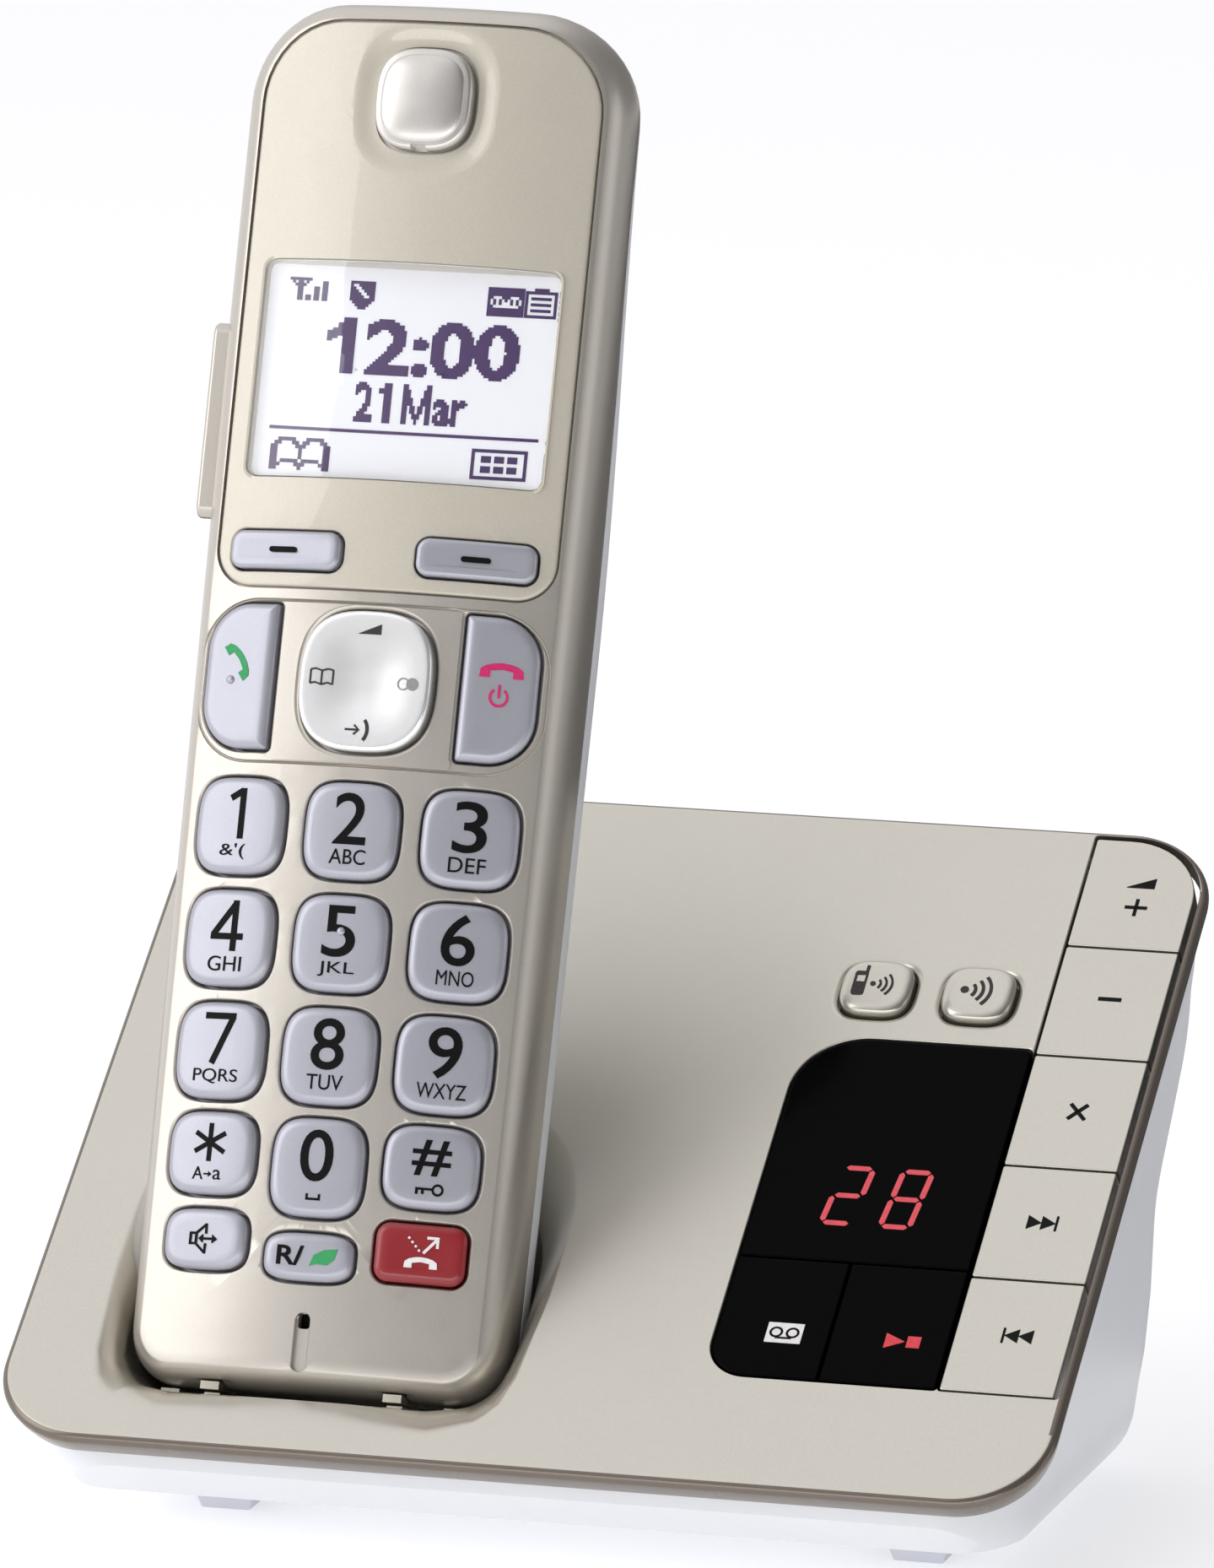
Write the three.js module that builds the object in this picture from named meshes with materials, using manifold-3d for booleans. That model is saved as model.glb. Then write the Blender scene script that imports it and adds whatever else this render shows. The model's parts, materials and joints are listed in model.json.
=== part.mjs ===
// A cordless telephone with an answering base: a handset standing in a sloped charging base.
// Millimetres, +Z up. The origin is on the table, under the middle of the base.
import * as THREE from 'three';
import { mergeVertices } from 'three/addons/utils/BufferGeometryUtils.js';
import Module from 'manifold-3d';

const wasm = await Module();
wasm.setup();

// ---------------------------------------------------------------- driving dimensions
const GAP = 0.3;                       // clearance between neighbouring pieces
const BASE = { width: 136, slope: 112.6, corner: 12, crease: 13, tilt: 35 };
const PANEL = { skin: 2.2, band: 4, bandInset: 1.1, lip: 2.4 };
const HOUSING = { floor: 4.2, wall: 1.7, half: 60.9, front: 7.8, rear: 76, rearCorner: 8, plan: 11 };
const HANDSET = { length: 176, tilt: 70, x: -29.4, up: 10.2, crown: 73, wall: 2, part: -13 };
const POCKET = { floor: -1.2, clearance: 0.7, wall: 1.7 };
const WINDOW = { half: 22.3, low: 100.6, high: 173.2, thick: 1.1, bed: 2.2 };
const KEY = { proud: 0.9, bevel: 0.4, bevelInset: 0.7, body: -2.7, flange: 0.6, foot: -3.6 };
const BASE_KEY = { foot: -3.2, bevel: 0.2, raisedFoot: -4, raisedBody: -2.9, ledge: 0.9 };
const PANEL_BULGE = 0.6;                // below the panel's face, where its edge stands out furthest
// From the panel's front crease back to the middle of the base, measured level.
const LEVEL_DEPTH = (BASE.slope - PANEL.bandInset) * Math.cos(rad(BASE.tilt));
const CENTRE = (LEVEL_DEPTH + (PANEL.band + PANEL_BULGE) * Math.sin(rad(BASE.tilt))) / 2;

// ---------------------------------------------------------------- small helpers
function rad(degrees) {
  return degrees * Math.PI / 180;
}

function mix(a, b, t) {
  return a + (b - a) * Math.min(1, Math.max(0, t));
}

function smooth(t) {
  const s = Math.min(1, Math.max(0, t));
  return s * s * (3 - 2 * s);
}

// A closed body through rings of points, from the first ring to the last, with flat ends.
function loft(rings) {
  const count = rings[0].length;
  const last = (rings.length - 1) * count;
  const index = [];
  for (let level = 0; level < rings.length - 1; level += 1) {
    for (let i = 0; i < count; i += 1) {
      const a = level * count + i;
      const b = level * count + (i + 1) % count;
      index.push(a, b, b + count, a, b + count, a + count);
    }
  }
  for (let i = 1; i < count - 1; i += 1) {
    index.push(0, i + 1, i, last, last + i, last + i + 1);
  }
  const geometry = new THREE.BufferGeometry();
  geometry.setAttribute('position', new THREE.Float32BufferAttribute(rings.flat(2), 3));
  geometry.setIndex(index);
  return geometry;
}

// A rectangle from (x0, y0) to (x1, y1) with rounded corners, listed from the lower left one.
function rounded({ x0, y0, x1, y1, r }, inset = 0, steps = 3) {
  const radii = Array.isArray(r) ? r : [r, r, r, r];
  const signs = [[-1, -1], [1, -1], [1, 1], [-1, 1]];
  return signs.flatMap(([sx, sy], corner) => {
    const radius = Math.max(radii[corner] - inset, 0.05);
    const cx = (sx < 0 ? x0 : x1) - sx * (inset + radius);
    const cy = (sy < 0 ? y0 : y1) - sy * (inset + radius);
    const from = Math.PI + corner * Math.PI / 2;
    return Array.from({ length: steps + 1 }, (_, i) => {
      const angle = from + i * Math.PI / 2 / steps;
      return [cx + radius * Math.cos(angle), cy + radius * Math.sin(angle)];
    });
  });
}

// One rounded rectangle at several heights, each with its own inset: [[z, inset], ...].
function stack(rect, levels, steps) {
  return loft(levels.map(([z, inset]) => rounded(rect, inset, steps).map(([x, y]) => [x, y, z])));
}

function around(cx, cy, width, height, r) {
  return { x0: cx - width / 2, x1: cx + width / 2, y0: cy - height / 2, y1: cy + height / 2, r };
}

function block(x0, x1, y0, y1, z0, z1) {
  return new THREE.BoxGeometry(x1 - x0, y1 - y0, z1 - z0)
    .translate((x0 + x1) / 2, (y0 + y1) / 2, (z0 + z1) / 2);
}

// A disc or tube blank along +Z, from z0 to z1.
function disc(cx, cy, radius, z0, z1, sides = 20, topRadius = radius) {
  return new THREE.CylinderGeometry(topRadius, radius, z1 - z0, sides)
    .rotateX(Math.PI / 2)
    .translate(cx, cy, (z0 + z1) / 2);
}

// A solid for joining and cutting.
function solid(geometry) {
  const bare = geometry.clone();
  bare.deleteAttribute('normal');
  bare.deleteAttribute('uv');
  const merged = mergeVertices(bare, 1e-4);
  return new wasm.Manifold(new wasm.Mesh({
    numProp: 3,
    vertProperties: new Float32Array(merged.attributes.position.array),
    triVerts: new Uint32Array(merged.index.array),
  }));
}

function joined(...geometries) {
  return geometries.map(solid).reduce((a, b) => a.add(b));
}

function cut(body, ...geometries) {
  return geometries.map(solid).reduce((a, b) => a.subtract(b), body);
}

function toGeometry(body) {
  const { vertProperties, triVerts } = body.getMesh();
  const geometry = new THREE.BufferGeometry();
  geometry.setAttribute('position', new THREE.BufferAttribute(new Float32Array(vertProperties), 3));
  geometry.setIndex(new THREE.BufferAttribute(new Uint32Array(triVerts), 1));
  geometry.computeVertexNormals();
  return geometry;
}

// ---------------------------------------------------------------- materials
const LOOKS = {
  champagne: [0xcdc7bb, 0.35, 0.6],
  silver: [0xb9b3a8, 0.35, 0.6],
  white: [0xeef0f4, 0.45, 0],
  keycap: [0xc2c2d0, 0.4, 0.1],
  chrome: [0xd2d2d2, 0.2, 0.9],
  red: [0x9c2f36, 0.35, 0],
  clear: [0xd8d2c4, 0.08, 0],
  screen: [0xf4f4fa, 0.3, 0],
  gloss_black: [0x0b0a0b, 0.08, 0],
  led: [0x2a0c0e, 0.4, 0],
  black: [0x232325, 0.5, 0],
  board: [0x2f5d3c, 0.6, 0],
  dome: [0xdedede, 0.5, 0],
  contact: [0xd9c58c, 0.3, 1],
  cell: [0x4c7fa8, 0.4, 0.2],
  rubber: [0xd9dade, 0.9, 0],
};

function look(name) {
  const [color, roughness, metalness] = LOOKS[name];
  return new THREE.MeshStandardMaterial({ color, roughness, metalness });
}

const phone = new THREE.Group();

// The sloped panel's own frame: x to the right, y up the slope, z out of the panel.
const slope = new THREE.Group();
slope.position.set(0, -CENTRE, BASE.crease);
slope.rotation.x = rad(BASE.tilt);

// The handset's own frame: x to the right, y along the handset, z out of its front face.
const handset = new THREE.Group();
handset.position.set(
  HANDSET.x,
  -CENTRE + HANDSET.up * Math.cos(rad(BASE.tilt)),
  BASE.crease + HANDSET.up * Math.sin(rad(BASE.tilt)),
);
handset.rotation.x = rad(HANDSET.tilt);
phone.add(slope, handset);
phone.updateMatrixWorld(true);

function add(parent, name, shape, material) {
  const geometry = shape.isBufferGeometry ? shape : toGeometry(shape);
  const piece = new THREE.Mesh(geometry, look(material));
  piece.name = name;
  parent.add(piece);
  return piece;
}

// ---------------------------------------------------------------- handset casing
const TAPER_LENGTH = 130;  // how far up the handset its sides keep spreading
const LOW_HALF = 24.4;       // half the width at the bottom end
const HIGH_HALF = 25.4;      // half the width beside the screen
const CREASE = 2.6;          // the sides stand this much wider than the front face
const END = { topCorner: 13, bottomCorner: 7, fillet: 3 };
const THICK = { low: 26, high: 18.5, from: 95, to: 170 };
const TUMBLE = 1.1;          // how far the sides lean in towards the back at the top end
const MIDDLE = -9;           // depth that the end fillets close towards
const REAR = { power: 0.72, steps: 7 };         // the rear shell's rounding
const FACE_STEPS = [0, 0.3, 0.58, 0.82, 1];     // shares of the way from the face's middle to its edge
const SHOULDER = [[1.6, -1.1], [2.35, -3]];     // [across, down] from the face's edge towards the side
const SIDE_TOP = -5.5;                          // where the side wall starts, down from the face's edge

function crown(x) {
  return -x * x / (2 * HANDSET.crown);
}

// How far a quarter circle of this radius has fallen away at distance d from its end.
function fall(d, radius) {
  if (d >= radius) return 0;
  const t = 1 - d / radius;
  return radius * (1 - Math.sqrt(1 - t * t));
}

// One cross-section at height y, grown outwards by grow, as points from the front middle round by +x.
function section(y, grow = 0) {
  const d = Math.max(0, Math.min(y, HANDSET.length - y));
  const corner = y < HANDSET.length / 2 ? END.bottomCorner : END.topCorner;
  const half = mix(LOW_HALF, HIGH_HALF, y / TAPER_LENGTH) - fall(d, corner);
  const upper = smooth((y - THICK.from) / (THICK.to - THICK.from));
  const thick = mix(THICK.low, THICK.high, upper);
  const backHalf = half - TUMBLE * upper;
  const squeeze = 1 - fall(d, END.fillet) / -MIDDLE;
  const inner = half - CREASE;
  const side = FACE_STEPS.map((t) => [inner * t, crown(inner * t)]);
  const edge = crown(inner);
  side.push(...SHOULDER.map(([across, down]) => [inner + across, edge + down]));
  side.push([half, edge + SIDE_TOP], [backHalf, HANDSET.part]);
  for (let i = 1; i <= REAR.steps; i += 1) {
    const angle = i * Math.PI / 2 / REAR.steps;
    side.push([
      backHalf * Math.max(0, Math.cos(angle)) ** REAR.power,
      HANDSET.part - (thick + HANDSET.part) * Math.sin(angle) ** REAR.power,
    ]);
  }
  const centre = HANDSET.part + 1;
  const scaleX = (half + grow) / half;
  const scaleZ = 1 - grow / HANDSET.part;
  const shaped = side.map(([x, z]) => {
    const squeezed = MIDDLE + (z - MIDDLE) * squeeze;
    return [x * scaleX, centre + (squeezed - centre) * scaleZ];
  });
  const mirrored = shaped.slice(1, -1).reverse().map(([x, z]) => [-x, z]);
  return [...shaped, ...mirrored];
}

const OUTER_STATIONS = [0, 0.6, 1.6, 3, 7, 95, 115, 132, 150, 163, 167, 170.5, 173, 174.8, 175.6, 176];
const INNER_STATIONS = [2.2, 5, 8, 95, 125, 145, 163, 169, 173.8];

function casing(stations, grow) {
  return loft(stations.map((y) => section(y, grow).map(([x, z]) => [x, y, z])));
}

const outer = solid(casing(OUTER_STATIONS, 0));
const inner = solid(casing(INNER_STATIONS, -HANDSET.wall));

// Key places: [name, x, y, width, height, corner radius, material].
const KEYS = [];
const DIGIT_ROWS = [
  [70.2, 15, 12.2, ['key_1', 'key_2', 'key_3']],
  [56, 14.9, 12.2, ['key_4', 'key_5', 'key_6']],
  [41.8, 14.6, 12.2, ['key_7', 'key_8', 'key_9']],
];
for (const [y, pitch, size, names] of DIGIT_ROWS) {
  names.forEach((name, column) => {
    KEYS.push([name, (column - 1) * pitch, y, size, size, 3.6, 'keycap']);
  });
}
KEYS.push(
  ['key_star', -14.3, 28.9, 12, 10.4, 3.4, 'keycap'],
  ['key_0', 0, 27.8, 12, 12.4, 3.6, 'keycap'],
  ['key_hash', 14.3, 28.9, 12, 10.4, 3.4, 'keycap'],
  ['speakerphone_key', -14, 18.1, 11.4, 7.6, 3, 'keycap'],
  ['recall_key', 0, 16.6, 11.6, 6, 2.6, 'keycap'],
  ['call_block_key', 14, 18.1, 11.4, 7.4, 1.8, 'red'],
  ['talk_key', -17.2, 89.2, 9.6, 18.4, [6.5, 1.2, 1.2, 6.5], 'keycap'],
  ['off_key', 16.8, 89.2, 9.6, 18.4, [1.2, 6.5, 6.5, 1.2], 'keycap'],
  ['soft_key_left', -12.6, 105.3, 15.2, 4.8, 1.6, 'keycap'],
  ['soft_key_right', 12.4, 105.3, 15.2, 4.8, 1.6, 'keycap'],
);
const NAVIGATOR = around(0, 89.1, 17.2, 17.8, 6.6);

// A key's own frame on the crowned face: its middle and its lean to the side.
function keyPlace(x, y) {
  const place = new THREE.Matrix4().makeRotationY(Math.atan(x / HANDSET.crown));
  return place.setPosition(x, y, crown(x));
}

function keyBody(width, height, r) {
  const rect = around(0, 0, width, height, r);
  return stack(rect, [
    [KEY.foot, -KEY.flange],
    [KEY.body, -KEY.flange],
    [KEY.body, 0],
    [KEY.proud - KEY.bevel, 0],
    [KEY.proud, KEY.bevelInset],
  ], 2);
}

function keyHole(width, height, r) {
  return stack(around(0, 0, width + 2 * GAP, height + 2 * GAP, r), [[-HANDSET.wall - 3, 0], [3, 0]], 2);
}

const keyHoles = KEYS.map(([, x, y, width, height, r]) => {
  return keyHole(width, height, r).applyMatrix4(keyPlace(x, y));
});
keyHoles.push(stack({ ...NAVIGATOR, r: 6.8 }, [[-6, -GAP], [3, -GAP]], 4));
// room under the front wall for the flanges
const flangeRoom = block(-21.6, 21.6, 10.5, 109.6, -9, -HANDSET.wall - 1.1);

// ---------------------------------------------------------------- window panel, screen and earpiece
const windowRect = {
  x0: -WINDOW.half, x1: WINDOW.half, y0: WINDOW.low, y1: WINDOW.high, r: [5, 5, 10.5, 10.5],
};

// A plate that follows the crowned face, between two depths below it.
function crownedPlate(rect, top, bottom, inset = 0, steps = 4) {
  const slab = solid(stack(rect, [[-12, inset], [4, inset]], steps));
  const skin = solid(crownSheet(top, bottom));
  return slab.intersect(skin);
}

// The crowned face as a thick sheet from depth top to depth bottom, over the whole handset.
function crownSheet(top, bottom) {
  const reach = 25;
  const steps = 10;
  const xs = Array.from({ length: steps + 1 }, (_, i) => -reach + 2 * reach * i / steps);
  const rings = [-1, HANDSET.length + 1].map((y) => [
    ...xs.map((x) => [x, y, crown(x) - bottom]),
    ...xs.slice().reverse().map((x) => [x, y, crown(x) - top]),
  ].reverse());
  return loft(rings);
}

const SCREEN = { x: 0, y: 128.6, width: 38.8, height: 27.8 };
const EAR = around(0, 163.2, 12.2, 13, 4.8);
const screenEdge = around(SCREEN.x, SCREEN.y, SCREEN.width + 1, SCREEN.height + 1, 1);
const screenHole = stack(screenEdge, [[-8, 0], [3, 0]], 2);
const earDish = stack(EAR, [[-1.2, -0.6], [-0.75, -1.6], [-0.2, -3.6], [0.1, -4.4], [0.6, -4.4]], 4);
const earHole = stack(EAR, [[-4, -GAP], [3, -GAP]], 4);
const softHoles = KEYS.filter(([name]) => name.startsWith('soft_key')).map(([, x, y, width, height, r]) => {
  return keyHole(width, height, r).applyMatrix4(keyPlace(x, y));
});

let windowPanel = crownedPlate(windowRect, 0, WINDOW.thick, 0.15);
windowPanel = cut(windowPanel, earHole, earDish, ...softHoles);
add(handset, 'window_panel', windowPanel, 'clear');

const RIM = 1.4;
const screenModule = stack(
  around(SCREEN.x, SCREEN.y, SCREEN.width + 2 * RIM, SCREEN.height + 2 * RIM, 1.5),
  [[-7.4, 0], [-5.9, 0], [-5.9, RIM], [-4, RIM]],
  2,
);
add(handset, 'lcd_module', screenModule, 'screen');

const earCap = stack(EAR, [[-0.95, 0], [0.6, 0], [1.5, 0.7], [1.9, 2], [2.05, 3.6]], 4);
add(handset, 'earpiece_cap', earCap, 'chrome');

// ---------------------------------------------------------------- front shell
let frontShell = outer.subtract(inner).intersect(
  solid(block(-40, 40, -5, 180, HANDSET.part + GAP / 2, 10)),
);
const bed = crownedPlate(windowRect, WINDOW.thick, WINDOW.bed, -0.6).intersect(outer);
frontShell = frontShell.add(bed).subtract(crownedPlate(windowRect, -3, WINDOW.thick + GAP / 2));
const MIC = around(0, 6, 1.9, 7.4, 0.9);
const micGroove = stack(MIC, [[-0.7, 0], [2, 0]], 2);
const micHole = disc(0, 8.6, 0.6, -4, 1, 10);
const TAB = { x: 11.9, half: 1.2, low: -0.45, high: 0.55, front: -2.2, back: -9.4 };
const tabSlots = [-1, 1].map((side) => block(
  side * TAB.x - TAB.half - GAP,
  side * TAB.x + TAB.half + GAP,
  -2,
  TAB.high + GAP,
  TAB.back - GAP,
  TAB.front + GAP,
));
const SIDE_KEY = { y0: 109.8, y1: 134.8, z0: -9.6, z1: -6.4, proud: 1.3 };
const sideHole = block(-29, -20, SIDE_KEY.y0 - GAP, SIDE_KEY.y1 + GAP, SIDE_KEY.z0 - GAP, SIDE_KEY.z1 + GAP);
frontShell = cut(frontShell, ...keyHoles, flangeRoom, screenHole, micGroove, micHole, ...tabSlots, sideHole);
const receiverHole = stack(around(0, 163, 6, 6, 2), [[-8, 0], [2, 0]], 3);
frontShell = cut(frontShell, receiverHole);
add(handset, 'handset_front_shell', frontShell, 'silver');

// ---------------------------------------------------------------- rear shell and battery cover
const COVER = { half: 17.4, low: 57, high: 112, r: 4 };
const coverRect = { x0: -COVER.half, x1: COVER.half, y0: COVER.low, y1: COVER.high, r: COVER.r };
const coverHole = stack(coverRect, [[-40, -GAP / 2], [-19, -GAP / 2]], 4);
let rearShell = outer.subtract(inner).intersect(
  solid(block(-40, 40, -5, 180, -40, HANDSET.part - GAP / 2)),
);
const SOUND = { y: 143, pitch: 3.2, rows: 5, half: 7, tall: 1.3 };
const soundSlots = Array.from({ length: SOUND.rows }, (_, row) => {
  const y = SOUND.y + (row - (SOUND.rows - 1) / 2) * SOUND.pitch;
  return stack(around(0, y, 2 * SOUND.half, SOUND.tall, 0.6), [[-40, 0], [-16, 0]], 2);
});
rearShell = cut(rearShell, coverHole, ...soundSlots);
add(handset, 'handset_rear_shell', rearShell, 'white');

const coverBlank = solid(stack(coverRect, [[-40, GAP / 2], [-16, GAP / 2]], 4));
const cover = outer.subtract(inner).intersect(coverBlank);
add(handset, 'battery_cover', cover, 'white');

// ---------------------------------------------------------------- keys of the handset
for (const [name, x, y, width, height, r, material] of KEYS) {
  const geometry = keyBody(width, height, r);
  const piece = add(handset, name, geometry, material);
  piece.applyMatrix4(keyPlace(x, y));
}
const navigatorKey = stack(NAVIGATOR, [
  [-3.6, -0.5], [-2.7, -0.5], [-2.7, 0], [0.7, 0], [1.1, 0.4], [1.1, 1.6], [0.75, 4.5],
], 5);
add(handset, 'navigator_key', navigatorKey, 'chrome');
const sideKey = joined(
  block(-25.6 - SIDE_KEY.proud, -22.2, SIDE_KEY.y0, SIDE_KEY.y1, SIDE_KEY.z0, SIDE_KEY.z1),
  block(-22.4, -21.8, SIDE_KEY.y0 - 1, SIDE_KEY.y1 + 1, SIDE_KEY.z0, SIDE_KEY.z1),
);
add(handset, 'side_volume_key', sideKey, 'silver');

// ---------------------------------------------------------------- inside the handset
const BOARD = { front: -8.4, back: -10 };
add(handset, 'handset_circuit_board', stack(
  { x0: -19.5, x1: 19.5, y0: 5, y1: 156, r: 3 },
  [[BOARD.back, 0], [BOARD.front, 0]],
  2,
), 'board');
const DOME = { film: 0.25, rise: 0.5, radius: 2.2, top: 1.2 };
const domeFloor = BOARD.front + GAP;
const domes = joined(
  block(-19, 19, 12, 109, domeFloor, domeFloor + DOME.film),
  ...KEYS.slice(0, 12).map(([, x, y]) => {
    return disc(x, y, DOME.radius, domeFloor + 0.1, domeFloor + DOME.rise, 6, DOME.top);
  }),
);
add(handset, 'keypad_dome_sheet', domes, 'dome');
add(handset, 'receiver_speaker', disc(0, 163, 6, -7.6, -4.6, 20), 'black');
add(handset, 'ringer_loudspeaker', disc(0, 143, 9, -17.6, -12.4, 24), 'black');
add(handset, 'handset_microphone', disc(0, 8.6, 2, -5.6, -4.4, 12), 'black');
const CELL = { radius: 5.2, nub: 1.9, can: 43.4, length: 44.4, low: 62, x: 6, z: -17.6 };
for (const [name, side, turned] of [['battery_cell_left', -1, false], ['battery_cell_right', 1, true]]) {
  const profile = [
    [0, 0],
    [CELL.radius, 0],
    [CELL.radius, CELL.can],
    [CELL.nub, CELL.can],
    [CELL.nub, CELL.length],
    [0, CELL.length],
  ];
  const cell = new THREE.LatheGeometry(profile.map(([r, h]) => new THREE.Vector2(r, h)), 20);
  const piece = add(handset, name, joined(cell), 'cell');
  piece.position.set(side * CELL.x, turned ? CELL.low + CELL.length : CELL.low, CELL.z);
  piece.rotation.z = turned ? Math.PI : 0;
}
add(handset, 'battery_contact_bridge', block(-9.5, 9.5, 107.2, 107.9, -20.6, -14.6), 'contact');
for (const [name, side] of [['charge_contact_left', -1], ['charge_contact_right', 1]]) {
  add(handset, name, block(
    side * TAB.x - TAB.half,
    side * TAB.x + TAB.half,
    TAB.low,
    TAB.high,
    TAB.back,
    TAB.front,
  ), 'contact');
}

// ---------------------------------------------------------------- base: the top panel with its pocket
const SLIP = HANDSET.tilt - BASE.tilt;          // angle between the handset and the panel
const FOOT_TOP = 20;                            // where the handset leaves its pocket, along its length
const POCKET_HALF = mix(LOW_HALF, HIGH_HALF, FOOT_TOP / TAPER_LENGTH) + POCKET.clearance;
const POCKET_CORNER = END.bottomCorner + POCKET.clearance;
const MOUTH_FRONT = 0.6;                        // how much of the mouth's widening its front edge takes
const MOUTH_SIDE = 0.55;                        // and how much its sides take
const MOUTH_SHALLOW = 0.1;                      // its depth before the foot's middle, as a share of the rest
const MOUTH_TURN = [4, 8];                      // depth below the face over which it turns to the side
// the mouth's flare: [height above the panel, widening]
const MOUTH = [[-6.5, 0], [-3.4, 0.1], [-2.1, 1.3], [-1.1, 2.6], [-0.45, 3.8], [0.02, 6.2], [0.5, 6.6]];
const panelRect = {
  x0: -BASE.width / 2, x1: BASE.width / 2, y0: 0, y1: BASE.slope, r: BASE.corner,
};

// How far the mouth's edge has turned from before the foot (0) to beside it (1) at a depth in the handset.
function turned(z) {
  return Math.min(1, Math.max(0, (-z - MOUTH_TURN[0]) / (MOUTH_TURN[1] - MOUTH_TURN[0])));
}

// The mouth is shallow before the foot's middle, and as deep as the foot's corners need elsewhere.
function mouthDepth(x, z, w) {
  if (w >= 0 || w < MOUTH[1][0]) return w;
  const before = mix(MOUTH_SHALLOW, 1, Math.min(1, (x / LOW_HALF) ** 2));
  return w * mix(before, 1, turned(z));
}

// Where a point of the handset's section meets a plane w above the panel, held inside the rounded foot.
function onSlope(x, z, w, grow) {
  const [sine, cosine] = [Math.sin(rad(SLIP)), Math.cos(rad(SLIP))];
  const [sideGrow, frontGrow] = [grow * MOUTH_SIDE, grow * MOUTH_FRONT];
  const centre = [POCKET_HALF - POCKET_CORNER, POCKET.floor + POCKET_CORNER];
  const front = POCKET.floor - frontGrow;
  let along = mix(front, Math.max((w - z * cosine) / sine, front), turned(z));
  let across = x;
  const out = Math.max(0, Math.abs(x) - centre[0]) / (POCKET_CORNER + sideGrow);
  const down = Math.max(0, centre[1] - along) / (POCKET_CORNER + frontGrow);
  const reach = Math.hypot(out, down);
  if (out > 0 && down > 0 && reach > 1) {
    across = Math.sign(x) * (centre[0] + out * (POCKET_CORNER + sideGrow) / reach);
    along = centre[1] - down * (POCKET_CORNER + frontGrow) / reach;
  }
  return [HANDSET.x + across, HANDSET.up + along / cosine - w * sine / cosine, w];
}

// The pocket's outline at height w, wider by grow.
function pocketRing(w, grow) {
  const ring = section(FOOT_TOP, POCKET.clearance);
  const deep = ring.reduce((low, [, z]) => Math.min(low, z), 0);
  return ring.map(([x, z]) => {
    const back = z / deep;
    const spread = 1 + grow * MOUTH_SIDE / LOW_HALF;
    return onSlope(x * spread, z - grow * 0.5 * back, mouthDepth(x, z, w), grow);
  });
}

// Handset-frame geometry, moved into the panel's frame.
const fromHandset = new THREE.Matrix4().copy(slope.matrixWorld).invert().multiply(handset.matrixWorld);

function sweep(grow, from, to) {
  const ring = section(FOOT_TOP, grow);
  return loft([from, to].map((y) => ring.map(([x, z]) => [x, y, z]))).applyMatrix4(fromHandset);
}

const skin = stack(panelRect, [
  [-PANEL.band, PANEL.bandInset], [-1.2, 0.1], [-PANEL_BULGE, 0], [-0.25, 0.25], [0, 0.9],
], 7);
const hollow = stack(panelRect, [[-9, PANEL.lip], [-PANEL.skin, PANEL.lip]], 7);
const belowPanel = block(-80, 80, -20, 140, -80, -0.7);
const tubBlank = sweep(POCKET.clearance + POCKET.wall, POCKET.floor - POCKET.wall, 60);
const tub = solid(tubBlank).intersect(solid(belowPanel));
let panel = cut(solid(skin), hollow).add(tub);
const footPlan = {
  x0: -POCKET_HALF,
  x1: POCKET_HALF,
  y0: POCKET.floor,
  y1: TAPER_LENGTH,
  r: [POCKET_CORNER, POCKET_CORNER, 1, 1],
};
const footEnd = stack(footPlan, [[-90, 0], [60, 0]], 10).applyMatrix4(fromHandset);
const pocket = solid(sweep(POCKET.clearance, POCKET.floor, 120)).intersect(solid(footEnd));
const mouth = loft(MOUTH.map(([w, grow]) => pocketRing(w, grow)));
panel = panel.subtract(pocket).subtract(solid(mouth));

// ribs that the handset's foot stands on, and slots for the charging contacts
const ribs = [-18.5, 18.5].map((x) => {
  return block(x - 1.2, x + 1.2, POCKET.floor - 0.5, -GAP, -20, -7).applyMatrix4(fromHandset);
});
panel = panel.add(joined(...ribs));
const PRONG = { half: 1, front: -3.6, back: -7.6, low: -6, high: TAB.low - GAP };
function prong(side, grow) {
  return block(
    side * TAB.x - PRONG.half - grow,
    side * TAB.x + PRONG.half + grow,
    PRONG.low - 4 * grow,
    PRONG.high + 4 * grow,
    PRONG.back - grow,
    PRONG.front + grow,
  );
}
panel = cut(panel, ...[-1, 1].map((side) => prong(side, GAP).applyMatrix4(fromHandset)));

// ---------------------------------------------------------------- base: display lens and keys
const COLUMN_KEYS = { x0: 51.6, x1: 66.5, low: 18.1, high: 111.4 };
const LENS = { x0: 21.6, x1: 51, low: 37.6, high: 74.5 };
const LINE = 0.35;
const columnNames = ['skip_back_key', 'skip_forward_key', 'erase_key', 'volume_down_key', 'volume_up_key'];
const columnPitch = (COLUMN_KEYS.high - COLUMN_KEYS.low) / columnNames.length;
const baseKeys = columnNames.map((name, i) => {
  const last = i === columnNames.length - 1;
  const y0 = COLUMN_KEYS.low + i * columnPitch;
  const rect = {
    x0: COLUMN_KEYS.x0,
    x1: COLUMN_KEYS.x1,
    y0,
    y1: y0 + columnPitch - LINE,
    r: [0.3, 0.3, last ? 10 : 0.3, 0.3],
  };
  return { name, rect, material: 'champagne', top: 0 };
});
const SPLIT = 36;
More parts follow.
